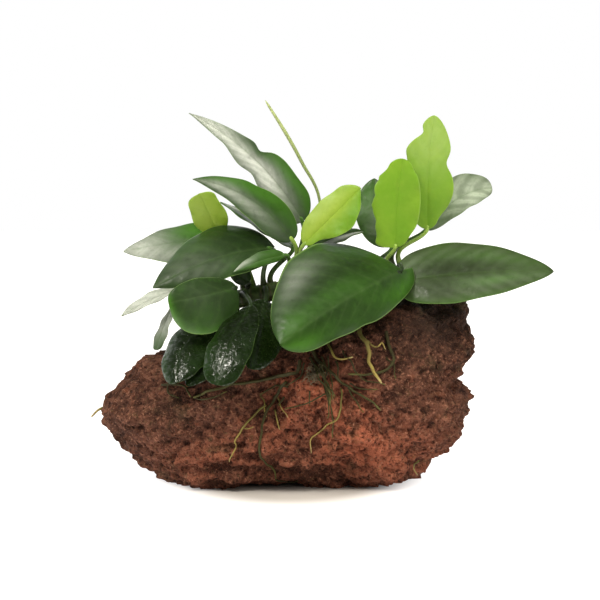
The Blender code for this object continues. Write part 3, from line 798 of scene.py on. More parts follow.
LOOKS = {
    # 01, 02, 12 and 18: their pale patches are painted sheen, the bright room mirrored by leaves that lie
    #                    level
    "01": look(pale=[(0.87, -0.1, 0.25, 1.4, 0.7), (0.45, -0.6, 0.2, 0.4, 0.3)],
               fresh=[(0.35, 0.5, 0.25, 0.7, 1)]),
    "02": look(pale=[(0.5, 0, 0.9, 3, 1)]),
    "03": look(pale=[(0.35, 0, 0.4, 2, 0.85)], fresh=[(0.85, 0, 0.3, 2, 0.3)]),
    "04": look(lobe=(2, 2), quilt=0.05, dents=[(-1, 0.62, 0.2, 2.2), (-1, 0.88, 0.08, 0.8)],
               pale=[(0.75, 0.3, 0.3, 0.5, 0.08), (0.6, -0.5, 0.3, 0.4, 0.06)],
               dark=[(0.12, 0.3, 0.35, 0.8, 0.6), (0.95, 0, 0.08, 1, 0.4)],
               fresh=[(0.45, 0.9, 0.2, 0.25, 0.2)]),
    # 05: the dark patch on its upper part is painted shadow of leaf 04 above it
    "05": look(lobe=(1, 1), dents=[(1, 0.5, 0.4, 1.2)],
               fresh=[(1, -0.9, 0.13, 0.5, 1), (0.75, -1.05, 0.4, 0.24, 1),
                      (1, 0.3, 0.06, 1, 1), (0.35, -1.05, 0.25, 0.13, 0.8)],
               pale=[(1, -0.9, 0.1, 0.4, 0.12), (0.8, -1.05, 0.3, 0.15, 0.1),
                     (0.5, 0.1, 0.3, 0.8, 0.035)],
               dark=[(0.2, 0.7, 0.4, 0.6, 0.7), (0.3, -0.2, 0.4, 0.6, 0.2)]),
    "06": look("wet", ripple=0.6, fresh=[(0.7, 0.85, 0.5, 0.25, 0.6)], dents=[(-1, 0.5, 0.25, 1)]),
    "07": look("wet", ripple=0.6, fresh=[(0.7, 0.85, 0.5, 0.2, 0.35)], dark=[(0.25, 0, 0.35, 2, 0.8)]),
    "08": look(fresh=[(0.4, 0, 0.8, 2, 0.35)], pale=[(0.95, 0.6, 0.3, 0.6, 0.7)]),
    # 09: the fresh patch over the whole blade is painted light that lifts the shade of the leaves above it
    "09": look("young", quilt=0, ripple=0.2,
               dents=[(-1, 0.93, 0.12, 0.5), (1, 0.93, 0.1, 0.8), (-1, 0.4, 0.25, 1.3),
                      (1, 0.35, 0.3, 1.6)],
               fresh=[(0.6, -0.2, 0.9, 1.4, 1)], pale=[(0.7, -0.5, 0.5, 1, 0.28)]),
    "10": look(fresh=[(0.35, 0.75, 0.35, 0.5, 0.6), (0.75, 0.7, 0.3, 0.5, 0.6)],
               pale=[(0.55, -0.4, 0.35, 0.4, 0.35), (0.8, 0, 0.2, 0.5, 0.35)],
               dents=[(1, 0.5, 0.08, -0.8)]),
    # 11 lies edge-on under leaf 10: its dark patch is painted shade and its pale one a painted highlight
    "11": look(pale=[(0.8, 0.3, 0.3, 0.3, 0.7)], dark=[(0.35, 0, 0.4, 2, 0.9)]),
    "12": look(dents=[(1, 0.12, 0.08, 1), (1, 0.51, 0.045, -2.4), (1, 0.63, 0.12, -1),
                      (1, 0.38, 0.08, 0.6), (-1, 0.46, 0.06, -1.3), (-1, 0.58, 0.05, 0.4),
                      (-1, 0.72, 0.05, -0.6)],
               pale=[(0.55, -0.3, 0.42, 0.6, 0.75), (0.9, 0.3, 0.25, 1.2, 0.7),
                     (0.38, -0.3, 0.14, 0.5, 0.5)],
               fresh=[(0.25, 0.75, 0.3, 0.35, 0.9)], dark=[(0.56, 0.9, 0.12, 0.35, 0.5)]),
    "13": look("wet"),
    "14": look("young", quilt=0, fresh=[(0.45, -0.4, 0.6, 0.8, 0.9)], pale=[(0.5, -0.8, 0.4, 0.5, 0.5)],
               dark=[(0.7, 0.8, 0.35, 0.5, 0.6)],
               dents=[(1, 0.18, 0.16, -3.6), (1, 0.62, 0.12, 1), (1, 0.95, 0.1, -2),
                      (-1, 0.85, 0.1, 0.6)]),
    # 15: the grey pale patch near its upper margin is a painted reflection
    "15": look(lobe=(6.5, 0.5), ripple=0.7, quilt=0.12, pale=[(0.6, 0.7, 0.2, 0.22, 0.24)],
               dark=[(0.5, 0.4, 0.3, 0.2, 0.6), (0.72, -0.15, 0.18, 0.25, 0.5),
                     (0.2, 0.3, 0.12, 0.3, 0.5)],
               fresh=[(0.9, -0.65, 0.12, 0.35, 0.9), (0.1, -0.7, 0.16, 0.35, 0.6),
                      (0.6, 0.15, 0.35, 0.2, 0.4), (0.86, 0.25, 0.1, 0.3, 0.5)],
               dents=[(-1, 0.62, 0.2, -2), (-1, 0.45, 0.05, -0.5), (1, 0.72, 0.2, -4),
                      (1, 0.92, 0.14, -2.5), (1, 0.08, 0.12, 4), (1, 0.24, 0.1, 1.5)]),
    # 16 lies edge-on under leaf 14: its dark patch is painted shade and its pale one a painted highlight
    "16": look(pale=[(0.65, 0.5, 0.45, 0.3, 1)], dark=[(0.3, 0, 0.4, 2, 0.9)]),
    "17": look(pale=[(0.3, 0.5, 0.5, 0.8, 0.2)], fresh=[(0.75, -0.3, 0.3, 0.9, 0.7)]),
    "18": look("striped", quilt=0.08, pale=[(0.6, 0.1, 0.6, 1.2, 0.8)],
               fresh=[(0.15, 0, 0.3, 1.5, 0.4)]),
    "19": look("young", ripple=0.4, quilt=0, dark=[(0.2, 0.3, 0.4, 0.8, 0.35)],
               dents=[(-1, 0.86, 0.05, -0.8), (-1, 0.66, 0.05, 0.6), (-1, 0.3, 0.06, -1),
                      (1, 0.9, 0.05, -0.6), (-1, 0.77, 0.025, 0.5), (-1, 0.56, 0.025, -0.5),
                      (-1, 0.46, 0.03, 0.5), (-1, 0.03, 0.08, 3.4), (1, 0.12, 0.1, -1)]),
    "20": look("young", ripple=0.4, quilt=0, pale=[(0.85, 0.1, 0.35, 1.5, 0.6)],
               dark=[(0.1, 0.2, 0.25, 0.9, 0.5)],
               dents=[(-1, 0.84, 0.05, -2.2), (-1, 0.69, 0.07, 1.6), (-1, 0.42, 0.09, -1.5),
                      (1, 0.59, 0.09, -2.6), (1, 0.1, 0.08, -1.6), (1, 0.33, 0.1, 0.6)]),
    "21": look("striped", lobe=(2, 2), quilt=0.1, ripple=0.3,
               pale=[(0.6, 0.5, 0.6, 0.7, 0.09), (0.5, -0.6, 0.4, 0.4, 0.06),
                     (0.06, -0.5, 0.12, 0.6, 0.12)],
               fresh=[(0.62, 0.38, 0.2, 0.2, 0.75), (0.5, -0.5, 0.28, 0.2, 0.5),
                      (0.5, 0.95, 0.5, 0.15, 0.4)],
               dark=[(0.35, -0.15, 0.35, 0.4, 0.8), (0.25, 0.5, 0.15, 0.3, 0.5),
                     (1, 0, 0.025, 1, 0.8)]),
    "22": look("wet", dark=[(0.5, 0, 1, 2, 0.5)]),
    # 23 sits behind leaves 04 and 05: its dark patch is painted shade
    "23": look(dark=[(0.5, 0, 1, 2, 0.9)]),
}


# %% [markdown]
# ## Leaves: the blade
# A blade is a thin skin with an upper and a lower side. One parameter, u, runs from stalk to tip. The
# other, v, runs from the left margin over the midrib to the right one. Each ring of the mesh goes over
# the top from margin to margin and back underneath, so the skin is closed and its margin is rounded.
# The columns crowd at the midrib and at the margins, where the form changes quickest.

# %% Blade outline
VEIN_SPACING = 7.8  # mm along the midrib from one side vein to the next
VEIN_SLANT = 0.34  # how far a side vein runs on towards the tip before it meets the margin


def midrib(facts, u):
    """Point and direction of the midrib: (1-u)^2 base + 2u(1-u) bend + u^2 tip, where the bend lies
    beyond the middle by twice the bow."""
    base, tip, bow = (np.array(facts[key], float) for key in ("base", "tip", "bow"))
    bend = (base + tip) / 2 + 2 * bow
    u = np.asarray(u, float)[..., None]
    place = (1 - u) ** 2 * base + 2 * u * (1 - u) * bend + u**2 * tip
    return place, unit(2 * (1 - u) * (bend - base) + 2 * u * (tip - bend))


def blade_outline(facts, u):
    """u^p (1-u)^q, scaled to 1 where the blade is widest."""
    p, q = facts["full"]
    widest = p / (p + q)
    return u**p * (1 - u) ** q / (widest**p * (1 - widest) ** q)


def half_width(facts, marks, u, v):
    """Width of each half: the outline times its full width, plus a bell for each dent or bulge."""
    left, right = facts["half"]
    half = np.where(v > 0, right, left) * blade_outline(facts, u)
    for side, middle, reach, push in marks["dents"]:
        half = half + push * np.exp(-((u - middle) / reach) ** 2) * (v * side > 0)
    return half


def vein_phase(facts, u, v):
    """A number that grows by 1 from one side vein to the next: how many there are, times u less a
    slant that grows with the outline and with |v| to the power 1.3."""
    length = np.linalg.norm(np.subtract(facts["tip"], facts["base"]))
    slant = VEIN_SLANT * blade_outline(facts, u) * np.abs(v) ** 1.3
    return max(3.0, length / VEIN_SPACING) * (u - slant)


# %% Blade surface
BLADE_THICKNESS = 0.55
RIB_REACH = 0.55  # mm on either side of the midrib


def blade_surface(facts, marks, u, v, side, seed):
    """Points of the blade's skin; side is 1 on top and -1 underneath.

    Each half leaves the midrib at the fold angle and bends back through the arch angle. To that come
    the lobes behind the stalk, ripples that grow towards the margin, swellings between the side
    veins, a groove along the midrib above and a keel below."""
    place, along = midrib(facts, u)
    across = unit(np.cross(along, np.array(facts["face"], float) + 0 * along))
    up = np.cross(across, along)
    half = half_width(facts, marks, u, v)
    fold, arch = math.radians(facts["fold"]), math.radians(max(facts["arch"], 0.1))
    share, turn = np.abs(v), np.sign(v)
    slope = fold - arch * share
    out = (math.sin(fold) - np.sin(slope)) / arch * half
    rise = (np.cos(slope) - math.cos(fold)) / arch * half
    back = np.where(v > 0, marks["lobe"][1], marks["lobe"][0]) * share**1.4 * np.exp(-((u / 0.16) ** 2))
    swell = np.sin(math.pi * u) ** 0.5
    waves = np.sin(2 * math.pi * (3.1 * u + 0.37 * seed + 0.21 * turn))
    ripple = marks["ripple"] * share**3 * swell * waves
    inner = np.clip(share * 8, 0, 1) * np.clip((1 - share) * 4, 0, 1)
    quilt = -marks["quilt"] * np.cos(2 * math.pi * vein_phase(facts, u, v)) * inner * swell
    across_mm = share * half
    inside = 1 - share**2
    groove = -0.22 * np.exp(-((across_mm / RIB_REACH) ** 2)) * swell * inside
    keel = (0.75 * (1 - u) ** 0.8 + 0.1) * np.exp(-((across_mm / (0.5 + 0.5 * (1 - u))) ** 2)) * inside
    skin = 0.5 * BLADE_THICKNESS * np.sqrt(np.clip(1 - share**6, 0, 1))
    lift = rise + ripple + quilt
    thick = np.where(side > 0, skin + groove, -skin - keel)
    normal = up * np.cos(slope)[..., None] - across * (np.sin(slope) * turn)[..., None]
    points = place + across * (out * turn)[..., None] + up * lift[..., None] - along * back[..., None]
    return points + normal * thick[..., None], across_mm


# %% Blade mesh
BLADE_ROWS = 84
BLADE_HALF_COLUMNS = 16
MARGIN_FROM, MARGIN_BLEND = 0.965, 0.03  # share of the half width where the pale margin begins


def blade_grid():
    """u of each row, and v and side of each column: v = s * s * (3 - 2s) away from the midrib."""
    u = 0.5 - 0.5 * np.cos(math.pi * np.linspace(0.004, 0.996, BLADE_ROWS))
    s = np.linspace(0, 1, BLADE_HALF_COLUMNS + 1)
    half = s * s * (3 - 2 * s)
    top = np.concatenate([half[::-1], -half[1:]])
    v = np.concatenate([top, -top[1:-1]])
    side = np.repeat([1, -1], [len(top), len(top) - 2])
    return np.broadcast_arrays(u[:, None], v[None], side[None])


def blade_mesh(name, facts, marks, seed):
    """The blade's mesh with its map, its patches of colour and the places of rib, margin and back."""
    u, v, side = blade_grid()
    points, across_mm = blade_surface(facts, marks, u, v, side, seed)
    mesh = fill_mesh(name, with_ends(points), *ring_faces(*u.shape))
    tones = np.stack([patches(u, v, marks[kind]) for kind in ("pale", "fresh", "dark")], axis=-1)
    paint(mesh, "tone", with_ends(tones))
    rib = np.exp(-((across_mm / RIB_REACH) ** 2))
    margin = np.clip((np.abs(v) - MARGIN_FROM) / MARGIN_BLEND, 0, 1)
    paint(mesh, "form", with_ends(np.stack([rib, margin, 0.5 - 0.5 * side], axis=-1)))
    flat = with_ends(np.stack([vein_phase(facts, u, v), v * 0.5 + 0.5], axis=-1))
    corners = np.empty(len(mesh.loops), np.int32)
    mesh.loops.foreach_get("vertex_index", corners)
    layer = mesh.uv_layers.new(name="leaf")
    layer.data.foreach_set("uv", flat[corners].astype(np.float32).ravel())
    return mesh


# %% [markdown]
# ## Leaves: the finish
# A grown blade is dark green and waxy. Side veins run out from the midrib and curve forward, with much
# finer ones between them. The margin is a thin pale line. Light also passes through a blade, which
# makes the young lime ones glow, so each finish mixes a translucent shader into the glossy one. There
# are four: mature, striped with paler fields, wet, and young. Blades that were just lifted from the
# water keep a clear film that has run together into drops, so it is a coat with its own bump. Each
# finish also lays on the painted patches: the pale ones partly painted sheen, the dark ones partly
# painted shade.


# %% Leaf finish
FINE_VEINS = 6  # fine veins for each side vein


def leaf_finish(name, deep, fresh, pale, dark, vein, rim, glow, wet=False, glow_share=0.25, sheen=0.36,
                vein_share=0.11, rib_share=0.2, gloss=0.27, between=0.75):
    """A leaf's material. The colours are those of its plain skin, of its three kinds of patch, of its
    veins, of its margin and of the light that comes through; `between` is what is left of a pale
    patch between two side veins."""
    made = Finish(name)
    pale_and_sheen_share, fresh_share, dark_and_shade_share = made.parts("tone")
    rib, margin, under = made.parts("form")
    chart = made.node("UVMap", uv_map="leaf").outputs["UV"]
    phase = made.node("SeparateXYZ", {0: chart}).outputs[0]
    run = made.sum("ADD", phase, made.sum("MULTIPLY", made.noise(9, detail=2.0), 0.6))
    side_vein = made.sum("COSINE", made.sum("MULTIPLY", run, 2 * math.pi))
    fine_vein = made.sum("COSINE", made.sum("MULTIPLY", run, 2 * math.pi * FINE_VEINS))
    broad = made.noise(16, detail=3.0)
    mottle = made.noise(2.2, detail=4.0, roughness=0.6)
    uneven = made.sum("MULTIPLY_ADD", made.noise(4, detail=3.0), 3.0, side_vein)
    streak = made.step(uneven, 0.2, 2.8, between, 1.0)
    colour = made.layered(
        deep,
        (made.step(broad, 0.38, 0.7, 0.0, 0.22), fresh),
        (fresh_share, fresh),
        # pale patches: partly the blade's own colour, partly painted sheen of the bright room
        (made.sum("MULTIPLY", pale_and_sheen_share, streak), pale),
        # dark patches: partly the blade's own marks, partly painted shade
        (dark_and_shade_share, dark),
        (made.step(mottle, 0.5, 0.75, 0.0, 0.2), fresh),
        (made.step(mottle, 0.48, 0.3, 0.0, 0.2), dark),
        (made.step(side_vein, 0.7, 1.0, 0.0, vein_share), vein),
        (made.step(fine_vein, 0.2, 1.0, 0.0, 0.3 * vein_share), vein),
        (made.sum("MULTIPLY", rib, rib_share), vein),
        (made.sum("MULTIPLY", margin, 0.7), rim),
        (made.sum("MULTIPLY", under, 0.6), rim),
    )
    relief = made.sum("MULTIPLY_ADD", side_vein, -0.04, made.noise(7.0, detail=2.0))
    skin = made.bump(made.noise(0.9, detail=3.0), 0.02, made.bump(relief, 0.5))
    made.set(Base_Color=colour, Normal=skin, IOR=1.48, Specular_IOR_Level=gloss,
             Roughness=made.step(mottle, 0.3, 0.7, sheen - 0.07, sheen + 0.08))
    if wet:
        drops = made.noise(1.3, detail=3.0, distortion=0.5)
        made.set(Coat_Weight=made.step(drops, 0.44, 0.58, 0.05, 1.0), Coat_Roughness=0.08, Coat_IOR=1.6,
                 Coat_Normal=made.bump(drops, 0.28))
    made.glow_through(glow_share, Color=glow, Normal=skin)
    return made.material


# colours: deep, fresh, pale (partly painted sheen), dark (partly painted shade), vein, rim and glow
LEAF_FINISHES = {
    "mature": leaf_finish("mature_leaf", (0.017, 0.038, 0.008), (0.042, 0.135, 0.008),
                          (0.60, 0.62, 0.56), (0.007, 0.014, 0.003), (0.060, 0.105, 0.030),
                          (0.20, 0.34, 0.08), (0.10, 0.30, 0.02), glow_share=0.1),
    "striped": leaf_finish("striped_leaf", (0.024, 0.042, 0.009), (0.045, 0.125, 0.010),
                           (0.54, 0.61, 0.47), (0.012, 0.020, 0.005), (0.060, 0.105, 0.030),
                           (0.12, 0.22, 0.05), (0.10, 0.30, 0.02), glow_share=0.1, between=0.55),
    "wet": leaf_finish("wet_leaf", (0.0045, 0.010, 0.0015), (0.014, 0.045, 0.004),
                       (0.16, 0.18, 0.14), (0.003, 0.006, 0.001), (0.020, 0.040, 0.010),
                       (0.05, 0.09, 0.02), (0.04, 0.14, 0.01), wet=True, glow_share=0.03, sheen=0.34,
                       vein_share=0.1, gloss=0.12),
    "young": leaf_finish("young_leaf", (0.18, 0.335, 0.026), (0.38, 0.475, 0.055),
                         (0.48, 0.60, 0.22), (0.10, 0.25, 0.012), (0.13, 0.27, 0.02),
                         (0.36, 0.50, 0.13), (0.48, 0.70, 0.08), glow_share=0.36, sheen=0.42,
                         vein_share=0.06, rib_share=0.06, gloss=0.3),
}
print(len(LEAF_FINISHES), "leaf finishes")

# %% Blades
worst = 0.0
for number, (key, facts) in enumerate(LEAVES.items()):
    marks = LOOKS[key]
    mesh = blade_mesh(f"blade_{key}", facts, marks, number)
    node = f"leaf_{key}_blade"
    slot = "young_leaf" if marks["finish"] == "young" else "mature_leaf"
    add_piece(f"blade_{key}", mesh, LEAF_FINISHES[marks["finish"]], slot, node)
    places = np.empty(3 * len(mesh.vertices), np.float32)
    mesh.vertices.foreach_get("co", places)
    places = places.reshape(-1, 3)
    overshoot = np.array([places.min(axis=0), places.max(axis=0)]) - np.array(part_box(node))
    worst = max(worst, np.abs(overshoot).max() / MM)
print("blades reach at most", round(float(worst), 1), "mm beyond or short of their solids")

# %% [markdown]
# ## Stalks
# A stalk leaves the stem inside a small sheath, is slightly flattened with a groove down its front,
# and swells into a knee just under the blade. It runs on under the blade as the keel of the midrib.
# A cubic Bezier curve gives its line, and the radius is a formula of the share of its length.

# %% Stalk surface
STALK_GAP = 0.35
STALK_FOOT_RADIUS = 1.1
STALK_TOP_RADIUS = 0.75
BLADE_START = 0.03
STALK_SINK = 1.6  # how far the foot reaches into the stem's skin
STALK_RUN_ON, STALK_DIP = 0.8, 0.4  # how far the top runs on under the blade, and how deep


def stalk_path(facts, count):
    """Cubic Bezier curve (1-t)^3 start + 3t(1-t)^2 a + 3t^2(1-t) b + t^3 end from stem to blade, run on
    a little at both ends."""
    centre, run = rhizome_at(facts["foot"])
    lean = math.radians(facts["lean"])
    out = np.array([0.0, -math.sin(lean), math.cos(lean)])
    out = unit(out - run * out.dot(run))
    top, along = midrib(facts, np.array(BLADE_START))
    start = centre + out * (RHIZOME_RADIUS + STALK_GAP)
    end = top - along * STALK_GAP
    straight_foot, straight_top = facts["pull"]
    a, b = start + out * straight_foot, end - along * straight_top
    t = np.linspace(0, 1, count)[:, None]
    curve = (1 - t) ** 3 * start + 3 * t * (1 - t) ** 2 * a + 3 * t**2 * (1 - t) * b + t**3 * end
    up = np.cross(unit(np.cross(along, np.array(facts["face"], float))), along)
    return np.vstack([start - out * STALK_SINK, curve, end + along * STALK_RUN_ON - up * STALK_DIP])


def stalk_radius(count, sides, small):
    """Radius along and around: a straight taper, a sheath that swells at the foot, a knee near the
    top, and a shallow groove on one side."""
    t = np.linspace(0, 1, count)[:, None]
    angle = around(sides)[None]
    radius = STALK_FOOT_RADIUS + (STALK_TOP_RADIUS - STALK_FOOT_RADIUS) * t
    radius = radius * (1 + 0.35 * np.exp(-((t / 0.12) ** 2)) + 0.16 * np.exp(-(((t - 0.9) / 0.06) ** 2)))
    groove = 1 - 0.12 * np.exp(-(((angle - 1.5 * math.pi) / 0.5) ** 2))
    radius = radius * groove * small * np.ones_like(angle)
    radius[-1] *= 0.35
    return radius


# %% Stalk finish
STALK_GLOW = 0.12  # share of the light that passes through


def stalk_finish(name, foot, middle, top, streak):
    """Green that changes from foot to top, with fine streaks along it."""
    made = Finish(name)
    share, _, _ = made.parts("form")
    mottle = made.noise(1.4, detail=4.0)
    colour = made.layered(
        foot,
        (made.step(share, 0.0, 0.35), middle),
        (made.step(share, 0.55, 1.0), top),
        (made.step(mottle, 0.42, 0.62, 0.0, 0.4), streak),
    )
    made.set(Base_Color=colour, Roughness=made.step(mottle, 0.3, 0.7, 0.34, 0.5),
             Normal=made.bump(made.noise(1.5), 0.06))
    made.glow_through(STALK_GLOW, Color=top)
    return made.material


STALK_FINISHES = {
    "mature": stalk_finish("stalk", (0.045, 0.055, 0.015), (0.050, 0.095, 0.018),
                           (0.060, 0.150, 0.020), (0.022, 0.038, 0.010)),
    # painted shade: a darker copy of the stalk finish for stalks that lie in the shade
    "dark": stalk_finish("shaded_stalk", (0.020, 0.024, 0.008), (0.016, 0.030, 0.007),
                         (0.013, 0.030, 0.006), (0.009, 0.014, 0.004)),
    "young": stalk_finish("young_stalk", (0.10, 0.14, 0.03), (0.20, 0.31, 0.05),
                          (0.30, 0.46, 0.07), (0.13, 0.20, 0.03)),
}

# %% Stalks
STALK_ROWS, STALK_SIDES = 40, 14
STALK_SIDEWAYS = np.array([0.15, 1.0, 0.1])  # the rings' sides are square to this
YOUNG_STALK_SIZE = 0.88
BRIGHT_STALKS = ("10",)  # green like those of young leaves
# painted shade: these stalks get the darker copy of the stalk finish
SHADED_STALKS = ("05", "06", "07", "13", "22", "23", "15")  # low down and in the shade

for key, facts in LEAVES.items():
    young = LOOKS[key]["finish"] == "young"
    kind = "young" if young or key in BRIGHT_STALKS else "dark" if key in SHADED_STALKS else "mature"
    path = smooth_path(stalk_path(facts, 24), STALK_ROWS)
    radius = stalk_radius(STALK_ROWS, STALK_SIDES, YOUNG_STALK_SIZE if young else 1.0)
    grid = swept(path, radius, STALK_SIDES, STALK_SIDEWAYS)
    mesh = tube_mesh(f"stalk_{key}", grid)
    add_piece(f"stalk_{key}", mesh, STALK_FINISHES[kind], "stalk", f"leaf_{key}_stalk")
print(len(LEAVES), "stalks of", len(mesh.vertices), "points each")

# %% [markdown]
# ## The rolled leaf
# The newest leaf comes up as a thin spear, a blade rolled round itself. A tube would look like wire,
# so its ring is a short spiral: the radius grows a little round the turn and drops back at the seam.

# %% Spear
SPEAR_PATH = [(1, 7, 82), (1, 13, 92), (-0.5, 14, 112), (-7, 14, 125), (-13, 14, 136), (-22, 14, 150.5)]
SPEAR_RADII = [0.55, 0.55, 0.6, 0.7, 0.75, 0.45]
SPEAR_ROWS, SPEAR_SIDES = 90, 16


def spear_radius(rows, sides):
    """Radius of the roll: the listed swell of its length, times 0.9 to 1.1 round the turn, with the
    seam winding slowly up the spear and a pointed end."""
    share = np.linspace(0, 1, rows)
    swell = np.interp(share, np.linspace(0, 1, len(SPEAR_RADII)), SPEAR_RADII)
    point = np.clip((1.003 - share) / 0.035, 0, 1) ** 0.7
    angle = around(sides)[None] + 3.0 * share[:, None]
    return (swell * point)[:, None] * (0.9 + 0.2 * np.mod(angle / (2 * math.pi), 1))


path = smooth_path(SPEAR_PATH, SPEAR_ROWS)
grid = swept(path, spear_radius(SPEAR_ROWS, SPEAR_SIDES), SPEAR_SIDES, np.array([0.0, 1.0, -0.3]))
spear_mesh = tube_mesh("spear", grid)
spear = stalk_finish("rolled_leaf", (0.12, 0.18, 0.05), (0.24, 0.31, 0.10), (0.42, 0.48, 0.20),
                     (0.20, 0.26, 0.08))
add_piece("spear", spear_mesh, spear, "young_leaf", "leaf_spear")
print("spear:", len(spear_mesh.vertices), "points")

# %% [markdown]
# ## Roots
# Roots leave the stem and creep down the rock, holding to it. Their routes are a few points given
# as seen from the front; each point is then laid on the rock's crust, so the root rides over the
# lumps and bridges the pits. Young roots are yellow, older ones olive, and all end in a pale tip.

# %% Routes on the rock
# points (X, Z), radius at the start and at the tip, and lift off the crust, all in mm
ROOTS = {
    "yellow_thick": ([(15, 64), (17, 61), (20, 58), (22, 54), (23.5, 49.5), (25, 44)], 0.95, 0.45, 1.2),
    "right_loop": ([(29.5, 66), (32, 61.5), (33, 57), (32, 52.5), (28.5, 49.7), (21, 48.5), (13, 49)],
                   0.7, 0.4, 0.3),
    "right_slant": ([(-2, 60), (1, 55), (6, 49), (12.5, 43.5), (22, 36), (25, 33)], 0.75, 0.35, 0.3),
    "yellow_bend": ([(9.5, 42.5), (9, 38), (5, 30.5), (-2, 23), (-3.5, 20), (-3.5, 15)], 0.36, 0.2, 0.3),
    "centre_down": ([(-3.5, 57), (-0.5, 51.5), (3, 45), (4, 41), (3, 35.5)], 0.6, 0.35, 0.3),
    "left_run": ([(-8, 55.5), (-10, 49.5), (-19, 48), (-35, 44), (-43, 41), (-50, 38)], 0.8, 0.45, 0.4),
    "fork_yellow": ([(-24, 35), (-27.5, 31.5), (-33, 22), (-33.5, 19), (-36, 12)], 0.45, 0.22, 0.3),
    "fork_dark": ([(-14, 45.5), (-17, 42.5), (-21.5, 36), (-23.5, 27), (-22.5, 15.5), (-17, 6)],
                  0.65, 0.35, 0.3),
    "fork_pale": ([(-19.5, 33), (-18, 28.5), (-16.5, 24.5)], 0.35, 0.2, 0.3),
    "left_tip": ([(-64, 42), (-58, 42.5), (-54, 42), (-51.5, 38)], 0.55, 0.3, 0.3),
    "short_yellow": ([(5, 62.5), (6.2, 57.3), (9.2, 55.2), (13.7, 55.2)], 0.55, 0.3, 0.4),
}
YELLOW_ROOTS = ("yellow_thick", "yellow_bend", "fork_yellow", "fork_pale", "short_yellow")


def rock_front(x, z):
    """Points of the crust on the stone's front seen at (x, z), and the way out of the rock there: y is
    where the broad form's formula gives it, and the ray through that point is followed outwards."""
    across = np.hypot(x - STONE_CENTRE[0], z - STONE_CENTRE[1])
    edge = outline_radius(np.arctan2(z - STONE_CENTRE[1], x - STONE_CENTRE[0]))
    share = np.minimum(across / edge, 0.985)
    y = -STONE_HALF_DEPTH * (1 - share**STONE_SQUARENESS) ** (1 / STONE_SQUARENESS)
    out = unit(np.stack([x - STONE_CENTRE[0], y, z - STONE_CENTRE[1]], axis=-1))
    reach = stone_body(out)
    return stone_place(out, reach + stone_crust(stone_place(out, reach))), out


# %% Roots on the rock
ROOT_SIDES = 10


def root_grid(points, thick, thin, lift, seed, step=0.9):
    """Rings of a root: the given points as a smooth line, wandering a little, laid on the crust and
    raised by the radius, the lift and a slow wave; the radius tapers and swells slightly."""
    length = sum(math.dist(a, b) for a, b in zip(points, points[1:]))
    rows = max(10, int(length / step))
    flat = smooth_path(points, rows)
    share = np.linspace(0, 1, rows)
    spot = np.stack([flat[:, 0], flat[:, 1], np.full(rows, 7.0 * seed)], axis=1)
    flat = flat + 0.45 * np.stack([soft_noise(spot, 4.0, 71), soft_noise(spot, 4.0, 72)], axis=1)
    radius = (thick + (thin - thick) * share) * (1 + 0.12 * soft_noise(spot, 2.0, 73))
    radius = radius * np.clip((1.02 - share) / 0.06, 0.12, 1) ** 0.6
    surface, out = rock_front(flat[:, 0], flat[:, 1])
    hop = lift * (0.6 + 0.5 * np.sin(9 * share + seed))
    path = surface + out * (radius + hop)[:, None]
    path[1:-1] = (path[:-2] + 2 * path[1:-1] + path[2:]) / 4
    return swept(path, radius, ROOT_SIDES, out)


# %% Root finish
def root_finish(name, old, young, tip, speck):
    """Old skin at the start, young further on, a pale tip, and specks of grit."""
    made = Finish(name)
    share, _, _ = made.parts("form")
    mottle = made.noise(1.8, detail=4.0)
    colour = made.layered(
        old,
        (made.step(share, 0.05, 0.75), young),
        (made.step(share, 0.82, 1.0), tip),
        (made.step(mottle, 0.52, 0.68, 0.0, 0.65), speck),
    )
    made.set(Base_Color=colour, Roughness=made.step(mottle, 0.3, 0.7, 0.5, 0.7), Specular_IOR_Level=0.2,
             Normal=made.bump(made.noise(0.5), 0.1))
    return made.material


green_root = root_finish("green_root", (0.030, 0.026, 0.009), (0.044, 0.040, 0.012),
                         (0.110, 0.105, 0.030), (0.018, 0.012, 0.006))
yellow_root = root_finish("yellow_root", (0.085, 0.075, 0.018), (0.27, 0.205, 0.055),
                          (0.42, 0.33, 0.14), (0.10, 0.062, 0.022))

# %% Main roots
for number, (name, facts) in enumerate(ROOTS.items()):
    mesh = tube_mesh(f"root_{name}_skin", root_grid(*facts, seed=number))
    finish, slot = (yellow_root, "yellow_root") if name in YELLOW_ROOTS else (green_root, "green_root")
    add_piece(f"root_{name}_skin", mesh, finish, slot, f"root_{name}")
print(len(ROOTS), "roots")

# %% [markdown]
# ## Rootlets and hairs
# Between the main roots run many thinner ones, too fine to be solids of their own. They are made in
# the same way and joined into one mesh for each colour. Short roots hold the creeping stem to the top
# of the rock, one more root tip looks out at the left end, and a tuft of short pale hairs sits where
# several roots meet.

